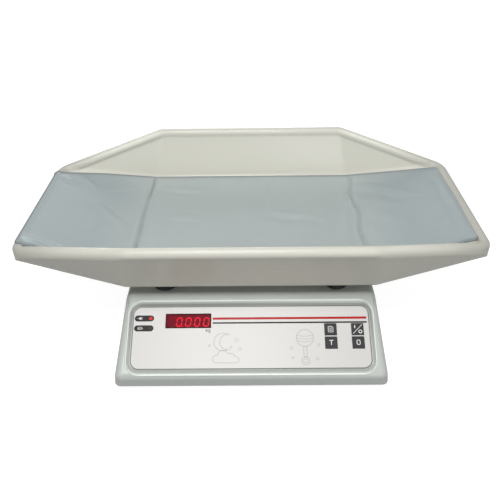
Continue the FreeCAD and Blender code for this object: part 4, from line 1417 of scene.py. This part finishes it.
class BABYSCALE_OT_stage(bpy.types.Operator):
    """Set the floor, the backdrop, the lamps and the camera"""

    bl_idname = "baby_scale.stage"
    bl_label = "Stage"

    def execute(self, context):
        settings = context.scene.baby_scale_studio
        scene = context.scene
        scene.view_settings.view_transform = "Standard"

        # A floor that bends up into a backdrop.
        reach, back, tall, bend, steps = 6.0, 3.0, 4.0, 1.2, 12
        profile = [(-reach, 0.0), (back - bend, 0.0)]
        for i in range(1, steps + 1):
            a = math.pi / 2 * i / steps
            profile.append((back - bend + bend * math.sin(a), bend - bend * math.cos(a)))
        profile.append((back, tall))
        vertices = [(x, y, z) for y, z in profile for x in (-reach, reach)]
        faces = [(i, i + 1, i + 3, i + 2) for i in range(0, len(vertices) - 2, 2)]
        mesh = bpy.data.meshes.new("studio_sweep")
        mesh.from_pydata(vertices, [], faces)
        mesh.shade_smooth()
        mesh.materials.append(studio_white(0.92))
        sweep = bpy.data.objects.new("studio_sweep", mesh)
        scene.collection.objects.link(sweep)

        aim = Vector((0, 0, 0.08))
        for name, size, share, place in (
            ("lamp_key", 0.6, 1, (-0.12, -0.75, 1.75)),
            ("lamp_front", 1.0, 0.34, (0.55, -1.93, 0.8)),
            ("lamp_back", 1.4, 0.6, (-0.4, 2.1, 0.45)),
        ):
            light = bpy.data.lights.new(name, "AREA")
            light.shape, light.size, light.energy = "SQUARE", size, settings.key_power * share
            lamp = bpy.data.objects.new(name, light)
            lamp.location = place
            lamp.rotation_euler = (aim - Vector(place)).to_track_quat("-Z", "Y").to_euler()
            scene.collection.objects.link(lamp)

        # The sky is white to the camera, and lights the pieces more from above than from the side.
        scene.world = bpy.data.worlds.new("studio_sky")
        scene.world.use_nodes = True
        sky = Tree(scene.world.node_tree)
        way = sky.node("ShaderNodeTexCoord", output="Generated")
        height = sky.node("ShaderNodeSeparateXYZ", values={0: way}, output="Z")
        stops = [(0.0, (0.1, 0.1, 0.1)), (0.9, (1, 1, 1))]
        tone = sky.node("ShaderNodeValToRGB", {"stops": stops}, {0: height})
        light = sky.node("ShaderNodeBackground", values={0: tone, 1: settings.sky})
        white = sky.node("ShaderNodeBackground", values={0: (1, 1, 1, 1)})
        seen = sky.node("ShaderNodeLightPath", output="Is Camera Ray")
        both = sky.node("ShaderNodeMixShader", values={0: seen, 1: light, 2: white})
        sky.feed(sky.tree.nodes["World Output"].inputs[0], both)

        camera = bpy.data.cameras.new("studio_camera")
        camera.lens, camera.sensor_width = settings.lens, 36
        holder = bpy.data.objects.new("studio_camera", camera)
        holder.location = (0.00598, -0.6239, 0.49124)
        holder.rotation_euler = [math.radians(turn) for turn in (55.2428, 0.7059, 0.1630)]
        scene.collection.objects.link(holder)
        scene.camera = holder
        return {"FINISHED"}


PIECE_OPERATORS = (
    BABYSCALE_OT_stage,
    BABYSCALE_OT_tray,
    BABYSCALE_OT_mat,
    BABYSCALE_OT_casing,
    BABYSCALE_OT_label,
    BABYSCALE_OT_display,
    BABYSCALE_OT_keys,
    BABYSCALE_OT_platform,
    BABYSCALE_OT_electrics,
    BABYSCALE_OT_feet,
)


class BABYSCALE_PT_pieces(bpy.types.Panel):
    """Lists the scale's pieces and their settings."""

    bl_idname = "BABYSCALE_PT_pieces"
    bl_label = "Baby Scale"
    bl_space_type = "VIEW_3D"
    bl_region_type = "UI"
    bl_category = "Baby Scale"

    def draw(self, context):
        layout = self.layout
        for name, group in SETTINGS.items():
            box = layout.box()
            for prop in group.__annotations__:
                box.prop(getattr(context.scene, name), prop)
        for operator in PIECE_OPERATORS:
            layout.operator(operator.bl_idname)


CLASSES = (*SETTINGS.values(), *PIECE_OPERATORS, BABYSCALE_PT_pieces)


def register():
    """Adds the settings, the operators and the panel to Blender."""
    for made in CLASSES:
        bpy.utils.register_class(made)
    for name, group in SETTINGS.items():
        setattr(bpy.types.Scene, name, bpy.props.PointerProperty(type=group))


def unregister():
    """Takes them away again."""
    for name in SETTINGS:
        delattr(bpy.types.Scene, name)
    for made in reversed(CLASSES):
        bpy.utils.unregister_class(made)


def main():
    """Makes every piece in order."""
    register()
    for operator in PIECE_OPERATORS:
        name = operator.bl_idname.split(".")[1]
        getattr(bpy.ops.baby_scale, name)()


if __name__ == "__main__":
    main()
